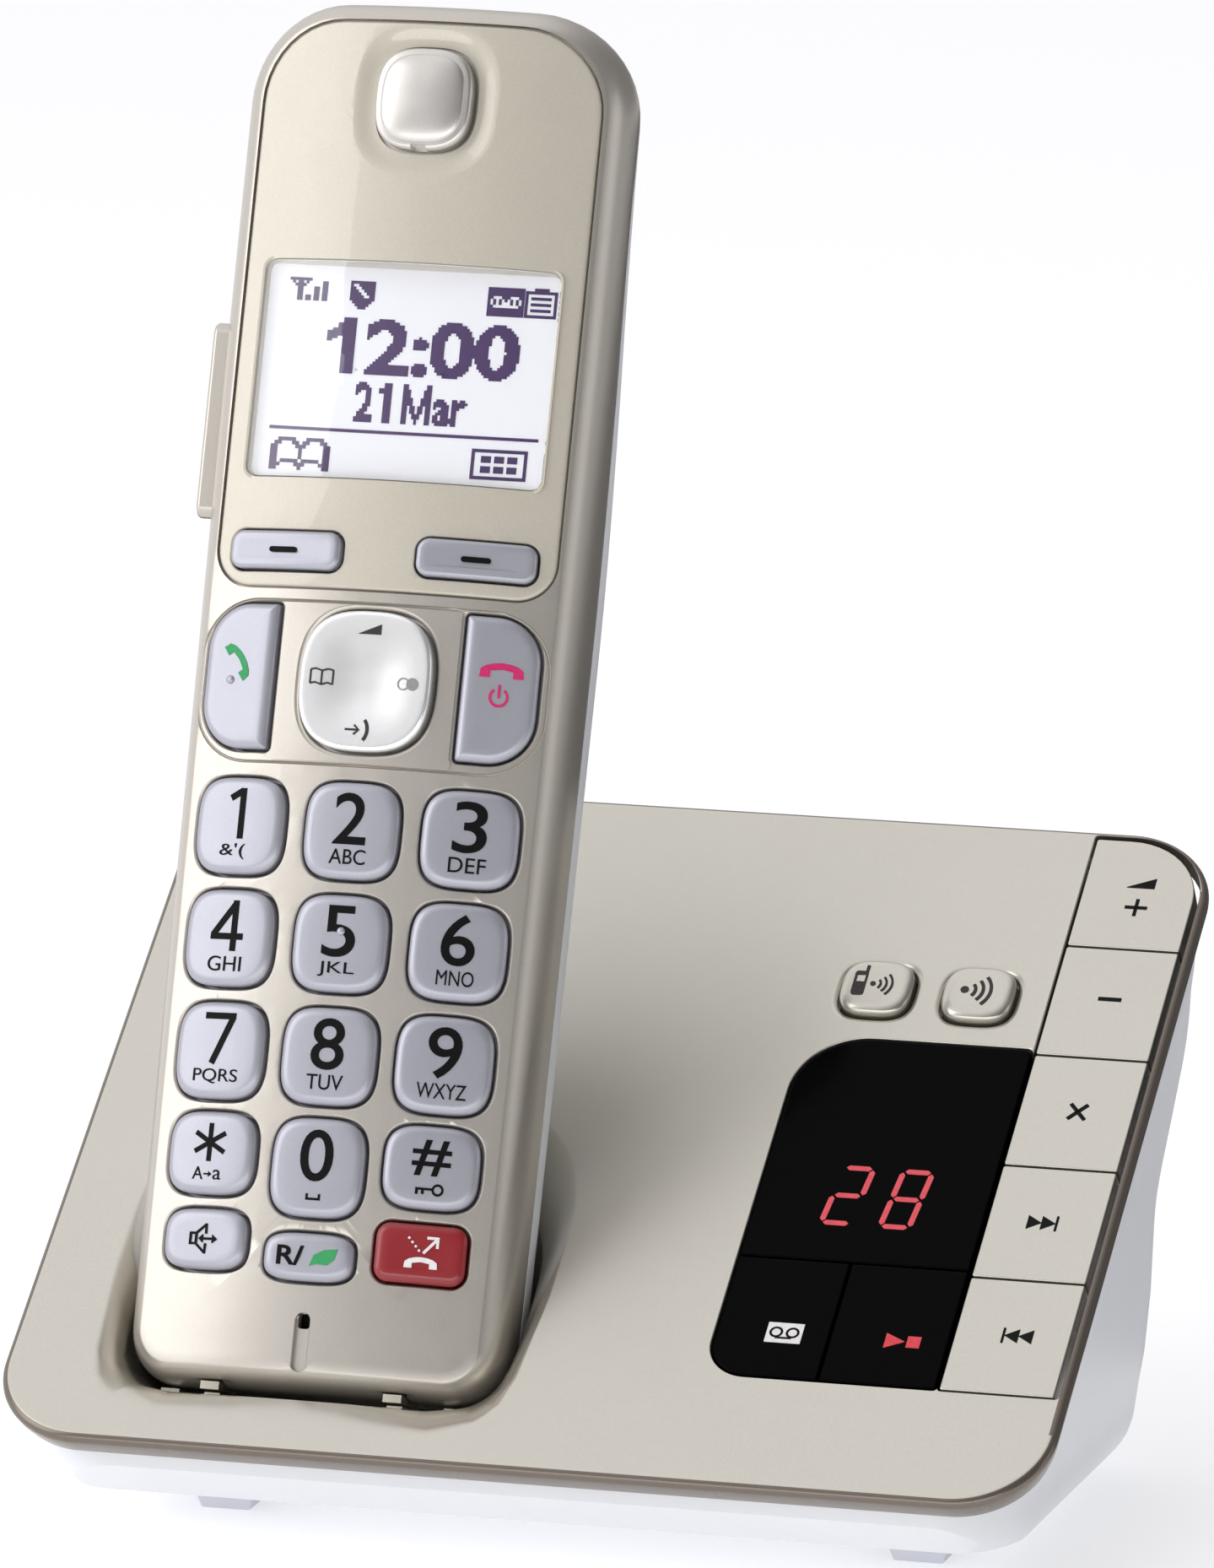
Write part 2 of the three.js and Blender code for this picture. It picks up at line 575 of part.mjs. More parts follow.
baseKeys.push(
  {
    name: 'answer_key',
    rect: {
      x0: LENS.x0, x1: SPLIT - LINE / 2, y0: COLUMN_KEYS.low, y1: LENS.low - LINE, r: [5, 0.3, 0.3, 0.3],
    },
    material: 'gloss_black',
    top: 0,
  },
  {
    name: 'play_stop_key',
    rect: { x0: SPLIT + LINE / 2, x1: LENS.x1, y0: COLUMN_KEYS.low, y1: LENS.low - LINE, r: 0.3 },
    material: 'gloss_black',
    top: 0,
  },
  { name: 'intercom_key', rect: around(29, 82.8, 9.2, 8.8, 3.4), material: 'champagne', top: 1.3 },
  { name: 'locator_key', rect: around(42.3, 82.8, 9.2, 8.8, 3.4), material: 'champagne', top: 1.3 },
);
const lensRect = { x0: LENS.x0, x1: LENS.x1, y0: LENS.low, y1: LENS.high, r: [0.3, 0.3, 0.8, 9] };
const columnHole = {
  x0: COLUMN_KEYS.x0, x1: COLUMN_KEYS.x1, y0: COLUMN_KEYS.low, y1: COLUMN_KEYS.high, r: [0.3, 0.3, 10, 0.3],
};
const displayHole = { x0: LENS.x0, x1: LENS.x1, y0: COLUMN_KEYS.low, y1: LENS.high, r: [5, 0.3, 0.8, 9] };
const throughPanel = [[-4, -GAP], [1, -GAP]];
const raisedKeys = baseKeys.filter(({ top }) => top > 0);
panel = cut(
  panel,
  stack(columnHole, throughPanel, 5),
  stack(displayHole, throughPanel, 5),
  ...raisedKeys.map(({ rect }) => stack(rect, throughPanel, 4)),
  ...raisedKeys.map(({ rect }) => stack(rect, [[-0.5, -0.6], [0.1, -1.3], [1, -1.3]], 4)),
);
add(slope, 'base_top_panel', panel, 'champagne');

for (const { name, rect, material, top } of baseKeys) {
  const raised = top > 0;
  const levels = raised
    ? [
      [BASE_KEY.raisedFoot, -BASE_KEY.ledge],
      [BASE_KEY.raisedBody, -BASE_KEY.ledge],
      [BASE_KEY.raisedBody, 0],
      [0.5, 0],
      [1.1, 0.5],
      [top, 1.5],
    ]
    : [[BASE_KEY.foot, 0], [-BASE_KEY.bevel, 0], [0, BASE_KEY.bevel]];
  add(slope, name, stack(rect, levels, 4), material);
}
add(slope, 'display_lens', stack(lensRect, [[-PANEL.skin, 0], [-0.2, 0], [0, 0.2]], 5), 'gloss_black');
add(slope, 'led_display', block(28, 46, 42, 56, -7.2, -PANEL.skin - GAP), 'led');

for (const [name, side] of [['cradle_contact_left', -1], ['cradle_contact_right', 1]]) {
  add(handset, name, prong(side, 0), 'contact');
}
const baseBoard = { x0: 4, x1: 61, y0: 14, y1: 92, r: 3 };
add(slope, 'base_circuit_board', stack(baseBoard, [[-9.2, 0], [-7.6, 0]], 2), 'board');

// ---------------------------------------------------------------- base: bottom housing
// Its plan at height z: round the floor's edge, up the walls, and out again at the back below the panel.
const OVERHANG = [[0, 0], [35, 0], [38, 1.3], [52, 12.4], [56, 13.9], [72, 15]];
const FILLET = { across: 2.6, up: 5 };

function overhang(z) {
  const next = OVERHANG.findIndex(([height]) => height > z);
  const [[z0, a], [z1, b]] = OVERHANG.slice(next < 1 ? -2 : next - 1).slice(0, 2);
  return mix(a, b, (z - z0) / (z1 - z0));
}

function housingPlan(z, inset) {
  const rise = z - HOUSING.floor - inset;
  const t = 1 - Math.min(1, rise / FILLET.up);
  const bulge = FILLET.across * Math.sqrt(1 - t * t) + Math.max(0, rise - FILLET.up) * 0.045;
  const half = HOUSING.half + bulge - inset;
  const rear = HOUSING.rear + overhang(z) - fall(rise, HOUSING.rearCorner) - inset;
  const rect = {
    x0: -half,
    x1: half,
    y0: HOUSING.front - bulge + inset - CENTRE,
    y1: rear - CENTRE,
    r: HOUSING.plan - inset,
  };
  return rounded(rect, 0, 5).map(([x, y]) => [x, y, z]);
}

function housingBlank(inset) {
  const rises = [0, 0.7, 2, 3.4, 5, 8].map((rise) => HOUSING.floor + inset + rise);
  return loft([...rises, 35, 38, 52, 56, 72, 90].map((z) => housingPlan(z, inset)));
}

// The housing's rim below the panel: [depth below the panel, inset from the panel's edge].
const RIM_TAPER = [[-100, 5], [-10, 2.2], [-PANEL.band - GAP, 1.2]];

function underPanel(extra, top) {
  const levels = RIM_TAPER.map(([w, inset]) => [w, inset + extra]);
  levels[levels.length - 1][0] = top;
  return stack(panelRect, levels, 6).applyMatrix4(slope.matrixWorld);
}

let housing = solid(underPanel(0, -PANEL.band - GAP)).intersect(solid(housingBlank(0)));
const inside = solid(underPanel(HOUSING.wall, -PANEL.band + 1)).intersect(solid(housingBlank(HOUSING.wall)));
housing = housing.subtract(inside);

const JACK = { x: 18, z: 24, width: 14, height: 13, depth: 15 };
const INLET = { x: 42, z: 24, width: 11, height: 11, depth: 13 };
const REAR_WALL = HOUSING.rear - CENTRE;
function socketBlank({ x, z, width, height, depth }, grow) {
  return block(
    x - width / 2 - grow,
    x + width / 2 + grow,
    REAR_WALL - depth - 3 * grow,
    REAR_WALL - 0.4 + 3 * grow,
    z - height / 2 - grow,
    z + height / 2 + grow,
  );
}
housing = cut(housing, socketBlank(JACK, GAP), socketBlank(INLET, GAP));
const SPEAKER = { x: 26, y: -1, radius: 18 };
const grille = Array.from({ length: 7 }, (_, row) => {
  const y = SPEAKER.y + (row - 3) * 4;
  const reach = Math.sqrt(SPEAKER.radius ** 2 - (y - SPEAKER.y) ** 2) - 3;
  return block(SPEAKER.x - reach, SPEAKER.x + reach, y - 0.8, y + 0.8, 2, 9);
});
housing = cut(housing, ...grille);
add(phone, 'base_bottom_housing', housing, 'white');

const lineJack = cut(
  solid(socketBlank(JACK, 0)),
  block(JACK.x - 4.9, JACK.x + 4.9, REAR_WALL - 12.5, REAR_WALL + 1, JACK.z - 3.4, JACK.z + 3.4),
  block(JACK.x - 3, JACK.x + 3, REAR_WALL - 12.5, REAR_WALL + 1, JACK.z + 3.3, JACK.z + 4.9),
);
add(phone, 'line_jack', lineJack, 'black');
const inletBore = disc(INLET.x, -INLET.z, 3.8, REAR_WALL - 10, REAR_WALL + 1, 16).rotateX(-Math.PI / 2);
const inletPin = disc(INLET.x, -INLET.z, 0.8, REAR_WALL - 11, REAR_WALL - 5.4, 8).rotateX(-Math.PI / 2);
add(phone, 'dc_inlet', cut(solid(socketBlank(INLET, 0)), inletBore).add(solid(inletPin)), 'black');

const cone = new THREE.LatheGeometry([
  [0, 0], [SPEAKER.radius, 0], [SPEAKER.radius, 2], [15, 2.4], [9, 8], [9, 12], [0, 12],
].map(([r, h]) => new THREE.Vector2(r, h)), 28).rotateX(Math.PI / 2);
const loudspeaker = add(phone, 'base_loudspeaker', joined(cone), 'black');
loudspeaker.position.set(SPEAKER.x, SPEAKER.y, HOUSING.floor + HOUSING.wall + GAP);

// ---------------------------------------------------------------- feet
const FOOT = { left: -42, right: 48, front: -24.6, rear: 18, half: 4.7, taper: 1.4, long: 5.2 };
for (const [name, x, y] of [
  ['front_left_foot', FOOT.left, FOOT.front],
  ['front_right_foot', FOOT.right, FOOT.front],
  ['rear_left_foot', FOOT.left, FOOT.rear],
  ['rear_right_foot', FOOT.right, FOOT.rear],
]) {
  const rect = around(x, y, 2 * FOOT.half, 2 * FOOT.long, 1.6);
  const levels = [[0, FOOT.taper + 0.5], [0.5, FOOT.taper], [HOUSING.floor - GAP, 0]];
  add(phone, name, stack(rect, levels, 3), 'rubber');
}

export default phone;
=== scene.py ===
"""Looks for a cordless telephone standing in its answering base.

Shapes are worked out in millimetres in two local frames, the sloped panel's and the handset's, and are
placed in the row frame in metres. Each fine piece stands for the CAD node it is named after.
"""

import json
import math

import bpy
from mathutils import Matrix, Vector
from mathutils.geometry import tessellate_polygon


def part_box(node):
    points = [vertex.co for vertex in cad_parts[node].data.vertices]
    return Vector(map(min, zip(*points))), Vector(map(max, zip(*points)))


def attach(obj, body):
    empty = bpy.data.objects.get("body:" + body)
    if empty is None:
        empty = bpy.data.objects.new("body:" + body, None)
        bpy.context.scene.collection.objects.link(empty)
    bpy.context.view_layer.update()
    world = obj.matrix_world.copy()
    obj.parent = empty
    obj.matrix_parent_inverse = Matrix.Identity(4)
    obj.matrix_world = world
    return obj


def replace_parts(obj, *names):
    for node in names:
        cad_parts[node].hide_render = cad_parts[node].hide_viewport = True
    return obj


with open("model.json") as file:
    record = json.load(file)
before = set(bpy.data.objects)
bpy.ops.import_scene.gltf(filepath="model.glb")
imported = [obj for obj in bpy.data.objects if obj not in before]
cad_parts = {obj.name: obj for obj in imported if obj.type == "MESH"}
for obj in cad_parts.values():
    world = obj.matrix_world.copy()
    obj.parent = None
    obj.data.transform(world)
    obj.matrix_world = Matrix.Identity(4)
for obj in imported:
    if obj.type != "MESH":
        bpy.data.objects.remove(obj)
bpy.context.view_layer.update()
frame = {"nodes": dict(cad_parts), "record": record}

# ---------------------------------------------------------------- driving dimensions, as in the CAD
MM = 0.001
GAP = 0.3
TILT = math.radians(35)
LEAN = math.radians(70)
PANEL_WIDTH, PANEL_SLOPE, PANEL_CORNER, PANEL_BAND = 136, 112.6, 12, 4
BAND_INSET, PANEL_BULGE, PANEL_SKIN, EDGE_ROUND = 1.1, 0.6, 2.2, 1.15
CREASE_HEIGHT = 13
CENTRE = ((PANEL_SLOPE - BAND_INSET) * math.cos(TILT) + (PANEL_BAND + PANEL_BULGE) * math.sin(TILT)) / 2
HANDSET_X, HANDSET_UP, LENGTH, CROWN, WALL, PART = -29.4, 10.2, 176, 73, 2, -13

SLOPE = Matrix.Translation(Vector((0, -CENTRE, CREASE_HEIGHT)) * MM) @ Matrix.Rotation(TILT, 4, "X")
FOOT = Vector((
    HANDSET_X,
    -CENTRE + HANDSET_UP * math.cos(TILT),
    CREASE_HEIGHT + HANDSET_UP * math.sin(TILT),
))
HANDSET = Matrix.Translation(FOOT * MM) @ Matrix.Rotation(LEAN, 4, "X")
TABLE = Matrix.Identity(4)
BODY = {
    node: body
    for body, nodes in frame["record"]["behaviour"]["bodies"].items()
    for node in nodes
}


# ---------------------------------------------------------------- camera, floor and light
def linear(r, g, b):
    """A colour given as it looks on a screen, as the renderer's linear numbers."""
    return [((c / 255 + 0.055) / 1.055) ** 2.4 if c > 10 else c / 255 / 12.92 for c in (r, g, b)] + [1]


def aim(thing, back):
    thing.rotation_mode = "QUATERNION"
    thing.rotation_quaternion = (-back).to_track_quat("-Z", "Y")


# This section is in metres and watts.
CAMERA_AZIMUTH, CAMERA_ELEVATION = math.radians(16.5), math.radians(12)
CAMERA_PLACE = (0.4834, -1.6336, 0.4518)
CAMERA_LENS, CAMERA_NEAR, CAMERA_FAR = 319.7, 0.1, 20
# The world's strength rises from "To Min" to "To Max" as a direction turns towards its bright side.
WORLD_BRIGHT_SIDE = (-0.75, 0.1, 0.65)
WORLD_SPAN = {"From Min": 0.0, "From Max": 0.8, "To Min": 0.2, "To Max": 1.0}
FLOOR_GLOW, FLOOR_REACH = 0.38, 6
# The flag's left, front, right and rear edges, and its height.
FLAG = (-0.25, 0.06, 1.2, 1.6, 0.002)
LIT_POINT = Vector((0, 0, 0.08))
# Softboxes: name -> (direction from the lit point, distance, width, height, power).
SOFTBOXES = {
    "overhead_softbox": ((-0.35, 0.15, 1), 1.1, 1.5, 1.2, 0.6),
    "left_softbox": ((-0.82, -0.57, 0.5), 1.3, 0.8, 1.0, 4.3),
    "right_softbox": ((1, 0.1, 0.25), 1.3, 0.6, 0.5, 0.8),
    "low_front_softbox": ((0.1, -1, 0.06), 1.2, 1.6, 0.25, 3.2),
}


def make_camera():
    back = Vector((
        math.sin(CAMERA_AZIMUTH) * math.cos(CAMERA_ELEVATION),
        -math.cos(CAMERA_AZIMUTH) * math.cos(CAMERA_ELEVATION),
        math.sin(CAMERA_ELEVATION),
    ))
    data = bpy.data.cameras.new("camera")
    data.lens = CAMERA_LENS
    data.clip_start, data.clip_end = CAMERA_NEAR, CAMERA_FAR
    camera = bpy.data.objects.new("camera", data)
    camera.location = CAMERA_PLACE
    aim(camera, back)
    bpy.context.collection.objects.link(camera)
    bpy.context.scene.camera = camera


def softbox(name, direction, distance, width, height, power):
    """A rectangular light at that direction and distance from the lit point, facing it."""
    data = bpy.data.lights.new(name, "AREA")
    data.shape = "RECTANGLE"
    data.size, data.size_y = width, height
    data.energy = power
    light = bpy.data.objects.new(name, data)
    toward = Vector(direction).normalized()
    light.location = LIT_POINT + toward * distance
    aim(light, toward)
    light.visible_camera = False
    bpy.context.collection.objects.link(light)


def studio_world():
    """A pale room, brightest up and to the left, dim to the right."""
    world = bpy.data.worlds.new("studio")
    world.use_nodes = True
    nodes, links = world.node_tree.nodes, world.node_tree.links
    background = nodes["Background"]
    background.inputs["Color"].default_value = linear(250, 250, 252)
    along = nodes.new("ShaderNodeVectorMath")
    along.operation = "DOT_PRODUCT"
    along.inputs[1].default_value = WORLD_BRIGHT_SIDE
    span = nodes.new("ShaderNodeMapRange")
    span.interpolation_type = "SMOOTHSTEP"
    for socket, value in WORLD_SPAN.items():
        span.inputs[socket].default_value = value
    links.new(nodes.new("ShaderNodeTexCoord").outputs["Generated"], along.inputs[0])
    links.new(along.outputs["Value"], span.inputs["Value"])
    links.new(span.outputs["Result"], background.inputs["Strength"])
    bpy.context.scene.world = world


def sheet(name, x0, y0, x1, y1, z, finish):
    """A flat, level stage piece."""
    corners = [(x0, y0, z), (x1, y0, z), (x1, y1, z), (x0, y1, z)]
    mesh = bpy.data.meshes.new(name)
    mesh.from_pydata(corners, [], [(0, 1, 2, 3)])
    mesh.materials.append(FINISHES[finish])
    piece = bpy.data.objects.new(name, mesh)
    bpy.context.collection.objects.link(piece)
    return piece


def make_flag():
    """A dark card that shows only as a reflection, as a photographer's flag beside the picture does."""
    card = sheet("rear_flag", *FLAG, "black")
    card.visible_camera = False
    card.visible_diffuse = False
    card.visible_transmission = False
    card.visible_shadow = False


def make_studio():
    bpy.context.scene.view_settings.view_transform = "Standard"
    studio_world()
    for name, setting in SOFTBOXES.items():
        softbox(name, *setting)
    sheet("floor", -FLOOR_REACH, -FLOOR_REACH, FLOOR_REACH, FLOOR_REACH, 0, "floor")
    make_flag()


# ---------------------------------------------------------------- materials
NOISE_LOW, NOISE_HIGH = 0.3, 0.7


class Tree:
    """A Principled material whose extra nodes are added a step at a time."""

    def __init__(self, name, color, roughness, metallic=0.0, **plain):
        self.material = bpy.data.materials.new(name)
        self.material.use_nodes = True
        self.nodes = self.material.node_tree.nodes
        self.links = self.material.node_tree.links
        self.shader = self.nodes["Principled BSDF"]
        self.color = linear(*color)
        self.shader.inputs["Base Color"].default_value = self.color
        self.shader.inputs["Roughness"].default_value = roughness
        self.shader.inputs["Metallic"].default_value = metallic
        for key, value in plain.items():
            self.shader.inputs[key.replace("_", " ").title().replace("Ior", "IOR")].default_value = value
        self.place = self.nodes.new("ShaderNodeTexCoord").outputs["Object"]
        self.roughness = roughness

    def texture(self, kind, size, stretch=(1, 1, 1)):
        """A texture node whose features are about size millimetres across."""
        mapping = self.nodes.new("ShaderNodeMapping")
        mapping.inputs["Scale"].default_value = [s / (size * MM) for s in stretch]
        texture = self.nodes.new(kind)
        texture.inputs["Scale"].default_value = 1
        self.links.new(self.place, mapping.inputs["Vector"])
        self.links.new(mapping.outputs["Vector"], texture.inputs["Vector"])
        return texture

    def noise(self, size, detail=2.0, stretch=(1, 1, 1)):
        texture = self.texture("ShaderNodeTexNoise", size, stretch)
        texture.inputs["Detail"].default_value = detail
        return texture.outputs["Fac"]

    def cells(self, size):
        """A random value for each cell, as metal flakes in paint have."""
        return self.texture("ShaderNodeTexVoronoi", size).outputs["Color"]

    def spread(self, source, low, high):
        """The source, stretched from the range noise mostly keeps to, to between low and high."""
        span = self.nodes.new("ShaderNodeMapRange")
        span.inputs["From Min"].default_value = NOISE_LOW
        span.inputs["From Max"].default_value = NOISE_HIGH
        span.inputs["To Min"].default_value = low
        span.inputs["To Max"].default_value = high
        self.links.new(source, span.inputs["Value"])
        return span.outputs["Result"]

    def tint(self, source, amount):
        """The base colour, varied by amount either way as source goes from low to high."""
        scale = self.nodes.new("ShaderNodeVectorMath")
        scale.operation = "SCALE"
        feeding = self.shader.inputs["Base Color"]
        if feeding.is_linked:
            self.links.new(feeding.links[0].from_socket, scale.inputs[0])
        else:
            scale.inputs[0].default_value = self.color[:3]
        self.links.new(self.spread(source, 1 - amount, 1 + amount), scale.inputs["Scale"])
        self.links.new(scale.outputs["Vector"], feeding)
        return self

    def vary_roughness(self, source, amount):
        self.links.new(
            self.spread(source, self.roughness - amount, self.roughness + amount),
            self.shader.inputs["Roughness"],
        )
        return self

    def bump(self, source, height):
        """A bump height millimetres tall."""
        bump = self.nodes.new("ShaderNodeBump")
        bump.inputs["Distance"].default_value = height * MM
        bump.inputs["Strength"].default_value = 1
        self.links.new(source, bump.inputs["Height"])
        self.links.new(bump.outputs["Normal"], self.shader.inputs["Normal"])
        return self


def metallic_paint(name, color, roughness, metallic=0.75):
    tree = Tree(name, color, roughness, metallic, coat_weight=0.12, coat_roughness=0.22)
    tree.tint(tree.noise(14, 3), 0.006).tint(tree.cells(0.14), 0.02)
    return tree.vary_roughness(tree.noise(3, 3), 0.008).bump(tree.noise(0.2, 1), 0.0008).material


def moulded_plastic(name, color, roughness, grain=0.3, height=0.002, **plain):
    tree = Tree(name, color, roughness, **plain)
    tree.tint(tree.noise(9, 3), 0.01)
    return tree.vary_roughness(tree.noise(2.5, 3), 0.03).bump(tree.noise(grain, 2), height).material


def brushed_metal(name, color, roughness, stretch):
    tree = Tree(name, color, roughness, 1.0, anisotropic=0.5)
    lines = tree.noise(0.12, 3, stretch)
    tree.tint(lines, 0.025).vary_roughness(lines, 0.03)
    return tree.bump(lines, 0.0005).material


def ink(name, color):
    tree = Tree(name, color, 0.5, specular_ior_level=0.12)
    return tree.tint(tree.noise(0.6, 2), 0.06).vary_roughness(tree.noise(0.4), 0.05).material


def glowing(name, color, strength, depth=0.08):
    tree = Tree(name, color, 0.8, specular_ior_level=0.0)
    tree.shader.inputs["Emission Strength"].default_value = strength
    tree.tint(tree.noise(0.8, 2), depth)
    tinted = tree.shader.inputs["Base Color"].links[0].from_socket
    tree.links.new(tinted, tree.shader.inputs["Emission Color"])
    return tree.material


def clear_pane(name):
    """Clear plastic that lets lamps through to what is behind it."""
    tree = Tree(name, (255, 255, 255), 0.02, transmission_weight=1.0, ior=1.46)
    tree.vary_roughness(tree.noise(6, 2), 0.01)
    path = tree.nodes.new("ShaderNodeLightPath")
    clear = tree.nodes.new("ShaderNodeBsdfTransparent")
    mixer = tree.nodes.new("ShaderNodeMixShader")
    tree.links.new(path.outputs["Is Shadow Ray"], mixer.inputs["Fac"])
    tree.links.new(tree.shader.outputs["BSDF"], mixer.inputs[1])
    tree.links.new(clear.outputs["BSDF"], mixer.inputs[2])
    tree.links.new(mixer.outputs["Shader"], tree.nodes["Material Output"].inputs["Surface"])
    return tree.material


def glossy_face(name, color, roughness, metallic):
    """A lacquered face: smooth clear coat over a finely speckled colour."""
    tree = Tree(name, color, roughness, metallic, coat_weight=1.0, coat_roughness=0.03)
    tree.tint(tree.noise(11, 3), 0.012).tint(tree.cells(0.12), 0.03)
    return tree.vary_roughness(tree.noise(2, 2), 0.02).material


FINISHES = {
    "floor": glowing("lit_white_table", (246, 246, 247), FLOOR_GLOW, 0.002),
    "champagne": metallic_paint("champagne_paint", (203, 199, 189), 0.26, 0.9),
    # The band finish is the champagne paint made darker: painted shade for the panel's flanks and the strip
    # beside the keys.
    "band": metallic_paint("champagne_painted_shade", (122, 113, 104), 0.28),
    "silver": metallic_paint("silver_paint", (200, 194, 185), 0.33),
    "white": moulded_plastic("white_shell_plastic", (233, 234, 238), 0.42),
    "keycap": metallic_paint("lilac_key_paint", (178, 178, 188), 0.36, 0.55),
    "red": moulded_plastic("red_key_plastic", (150, 30, 38), 0.3, coat_weight=0.5, coat_roughness=0.1),
    "bright": metallic_paint("bright_satin_chrome", (252, 252, 252), 0.24, 0.8),
    "satin": metallic_paint("satin_nickel", (214, 210, 205), 0.34, 0.92),
    "window": glossy_face("window_lacquer", (203, 196, 181), 0.42, 0.25),
    "pane": clear_pane("window_pane"),
    # The screen's glow is partly its backlight and partly painted light, making up for lamp light the pane
    # keeps off it.
    "lcd": glowing("screen_light", (226, 227, 232), 0.16, 0.006),
    "lcd_ink": ink("screen_ink", (74, 54, 98)),
    "gloss_black": moulded_plastic("gloss_black_lens", (4, 3, 4), 0.08, 3, 0.0005, specular_ior_level=0.03),
    "glow_red": glowing("red_readout", (196, 82, 90), 0.42),
    "black": moulded_plastic("black_plastic", (30, 30, 32), 0.5),
    "board": moulded_plastic("board_resin", (38, 84, 52), 0.5, 0.6, 0.004),
    "dome": moulded_plastic("dome_film", (216, 216, 214), 0.4),
    "contact": brushed_metal("sprung_contact", (206, 200, 184), 0.32, (1, 0.08, 1)),
    "cell": metallic_paint("cell_sleeve", (70, 118, 160), 0.35, 0.3),
    "rubber": moulded_plastic("foot_rubber", (208, 210, 218), 0.75, 0.4, 0.006),
    "black_ink": ink("black_ink", (12, 12, 14)),
    "grey_ink": ink("grey_ink", (66, 62, 62)),
    "pale_ink": ink("pale_ink", (150, 150, 150)),
    "white_ink": ink("white_ink", (240, 238, 236)),
    "green_ink": ink("green_ink", (70, 164, 104)),
    "magenta_ink": ink("magenta_ink", (205, 52, 110)),
    # Painted light: this red print glows though it is only ink, so it reads bright on the black key.
    "red_ink_painted_glow": glowing("red_ink_painted_glow", (196, 72, 80), 0.35),
}


# ---------------------------------------------------------------- shapes
def mix(a, b, t):
    return a + (b - a) * min(1, max(0, t))


def smooth(t):
    s = min(1, max(0, t))
    return s * s * (3 - 2 * s)


def crown(x):
    """How far the handset's face has fallen away at x from its middle line."""
    return -x * x / (2 * CROWN)


def fall(d, radius):
    """How far a quarter circle has fallen away at distance d from its end."""
    return 0 if d >= radius else radius * (1 - math.sqrt(1 - (1 - d / radius) ** 2))


def around(cx, cy, width, height, r):
    return cx - width / 2, cy - height / 2, cx + width / 2, cy + height / 2, r


def rounded(rect, steps=10, along=1):
    """The plan of a rounded rectangle (x0, y0, x1, y1, radius or four radii): its points at an inset.

    Each straight side is divided into along lengths, so that it can follow a curved face.
    """
    x0, y0, x1, y1, r = rect
    radii = r if isinstance(r, (list, tuple)) else [r] * 4

    def plan(inset):
        points = []
        for corner, (sx, sy) in enumerate([(-1, -1), (1, -1), (1, 1), (-1, 1)]):
            radius = max(radii[corner] - inset, 0.05)
            cx = (x0 if sx < 0 else x1) - sx * (inset + radius)
            cy = (y0 if sy < 0 else y1) - sy * (inset + radius)
            for i in range(steps + 1):
                angle = math.pi + (corner + i / steps) * math.pi / 2
                points.append((cx + radius * math.cos(angle), cy + radius * math.sin(angle)))
        if along == 1:
            return points
        divided = []
        for i, (ax, ay) in enumerate(points):
            divided.append((ax, ay))
            if i % (steps + 1) == steps:
                bx, by = points[(i + 1) % len(points)]
                divided += [(mix(ax, bx, k / along), mix(ay, by, k / along)) for k in range(1, along)]
        return divided

    return plan


def pillow(cx, cy, width, height, power, count=64):
    """The plan of a rectangle with bulging sides and soft corners."""

    def plan(inset):
        points = []
        for i in range(count):
            angle = (i + 0.5) * 2 * math.pi / count
            c, s = math.cos(angle), math.sin(angle)
            points.append((
                cx + (width / 2 - inset) * math.copysign(abs(c) ** (2 / power), c),
                cy + (height / 2 - inset) * math.copysign(abs(s) ** (2 / power), s),
            ))
        return points

    return plan


def shape_mesh(vertices, faces):
    mesh = bpy.data.meshes.new("shape")
    mesh.from_pydata(vertices, [], faces)
    mesh.validate()
    return mesh


def strips_across(count, middle):
    """Faces across the underside of a ring that is the same on both sides of its point at middle."""
    faces = []
    for step in range(count // 2):
        near, far = (middle - step) % count, (middle - step - 1) % count
        faces.append(tuple(dict.fromkeys([near, far, middle + step + 1, middle + step])))
    return faces


def loft(rings, underside=None):
    """A closed body through rings of points, each anticlockwise from above, from the lowest up."""
    count = len(rings[0])
    last = (len(rings) - 1) * count
    faces = [*(underside or [tuple(reversed(range(count)))]), tuple(range(last, last + count))]
    for level in range(len(rings) - 1):
        for i in range(count):
            a = level * count + i
            b = level * count + (i + 1) % count
            faces.append((a, b, b + count, a + count))
    return shape_mesh([point for ring in rings for point in ring], faces)


def stack(plan, levels, rise=None):
    """A plan at several heights, each with its own inset: [(z, inset), ...], lifted by rise(x) if given."""
    return loft([
        [(x, y, z + (rise(x) if rise else 0)) for x, y in plan(inset)]
        for z, inset in levels
    ])


def block(x0, x1, y0, y1, z0, z1):
    return stack(lambda inset: [(x0, y0), (x1, y0), (x1, y1), (x0, y1)], [(z0, 0), (z1, 0)])


def arc(z0, z1, inset0, inset1, steps=6, rising=True):
    """Levels along a quarter ellipse; rising starts upright and ends flat."""
    levels = []
    for i in range(steps + 1):
        angle = i / steps * math.pi / 2
        up, across = math.sin(angle), 1 - math.cos(angle)
        if not rising:
            up, across = 1 - math.cos(angle), math.sin(angle)
        levels.append((z0 + (z1 - z0) * up, inset0 + (inset1 - inset0) * across))
    return levels


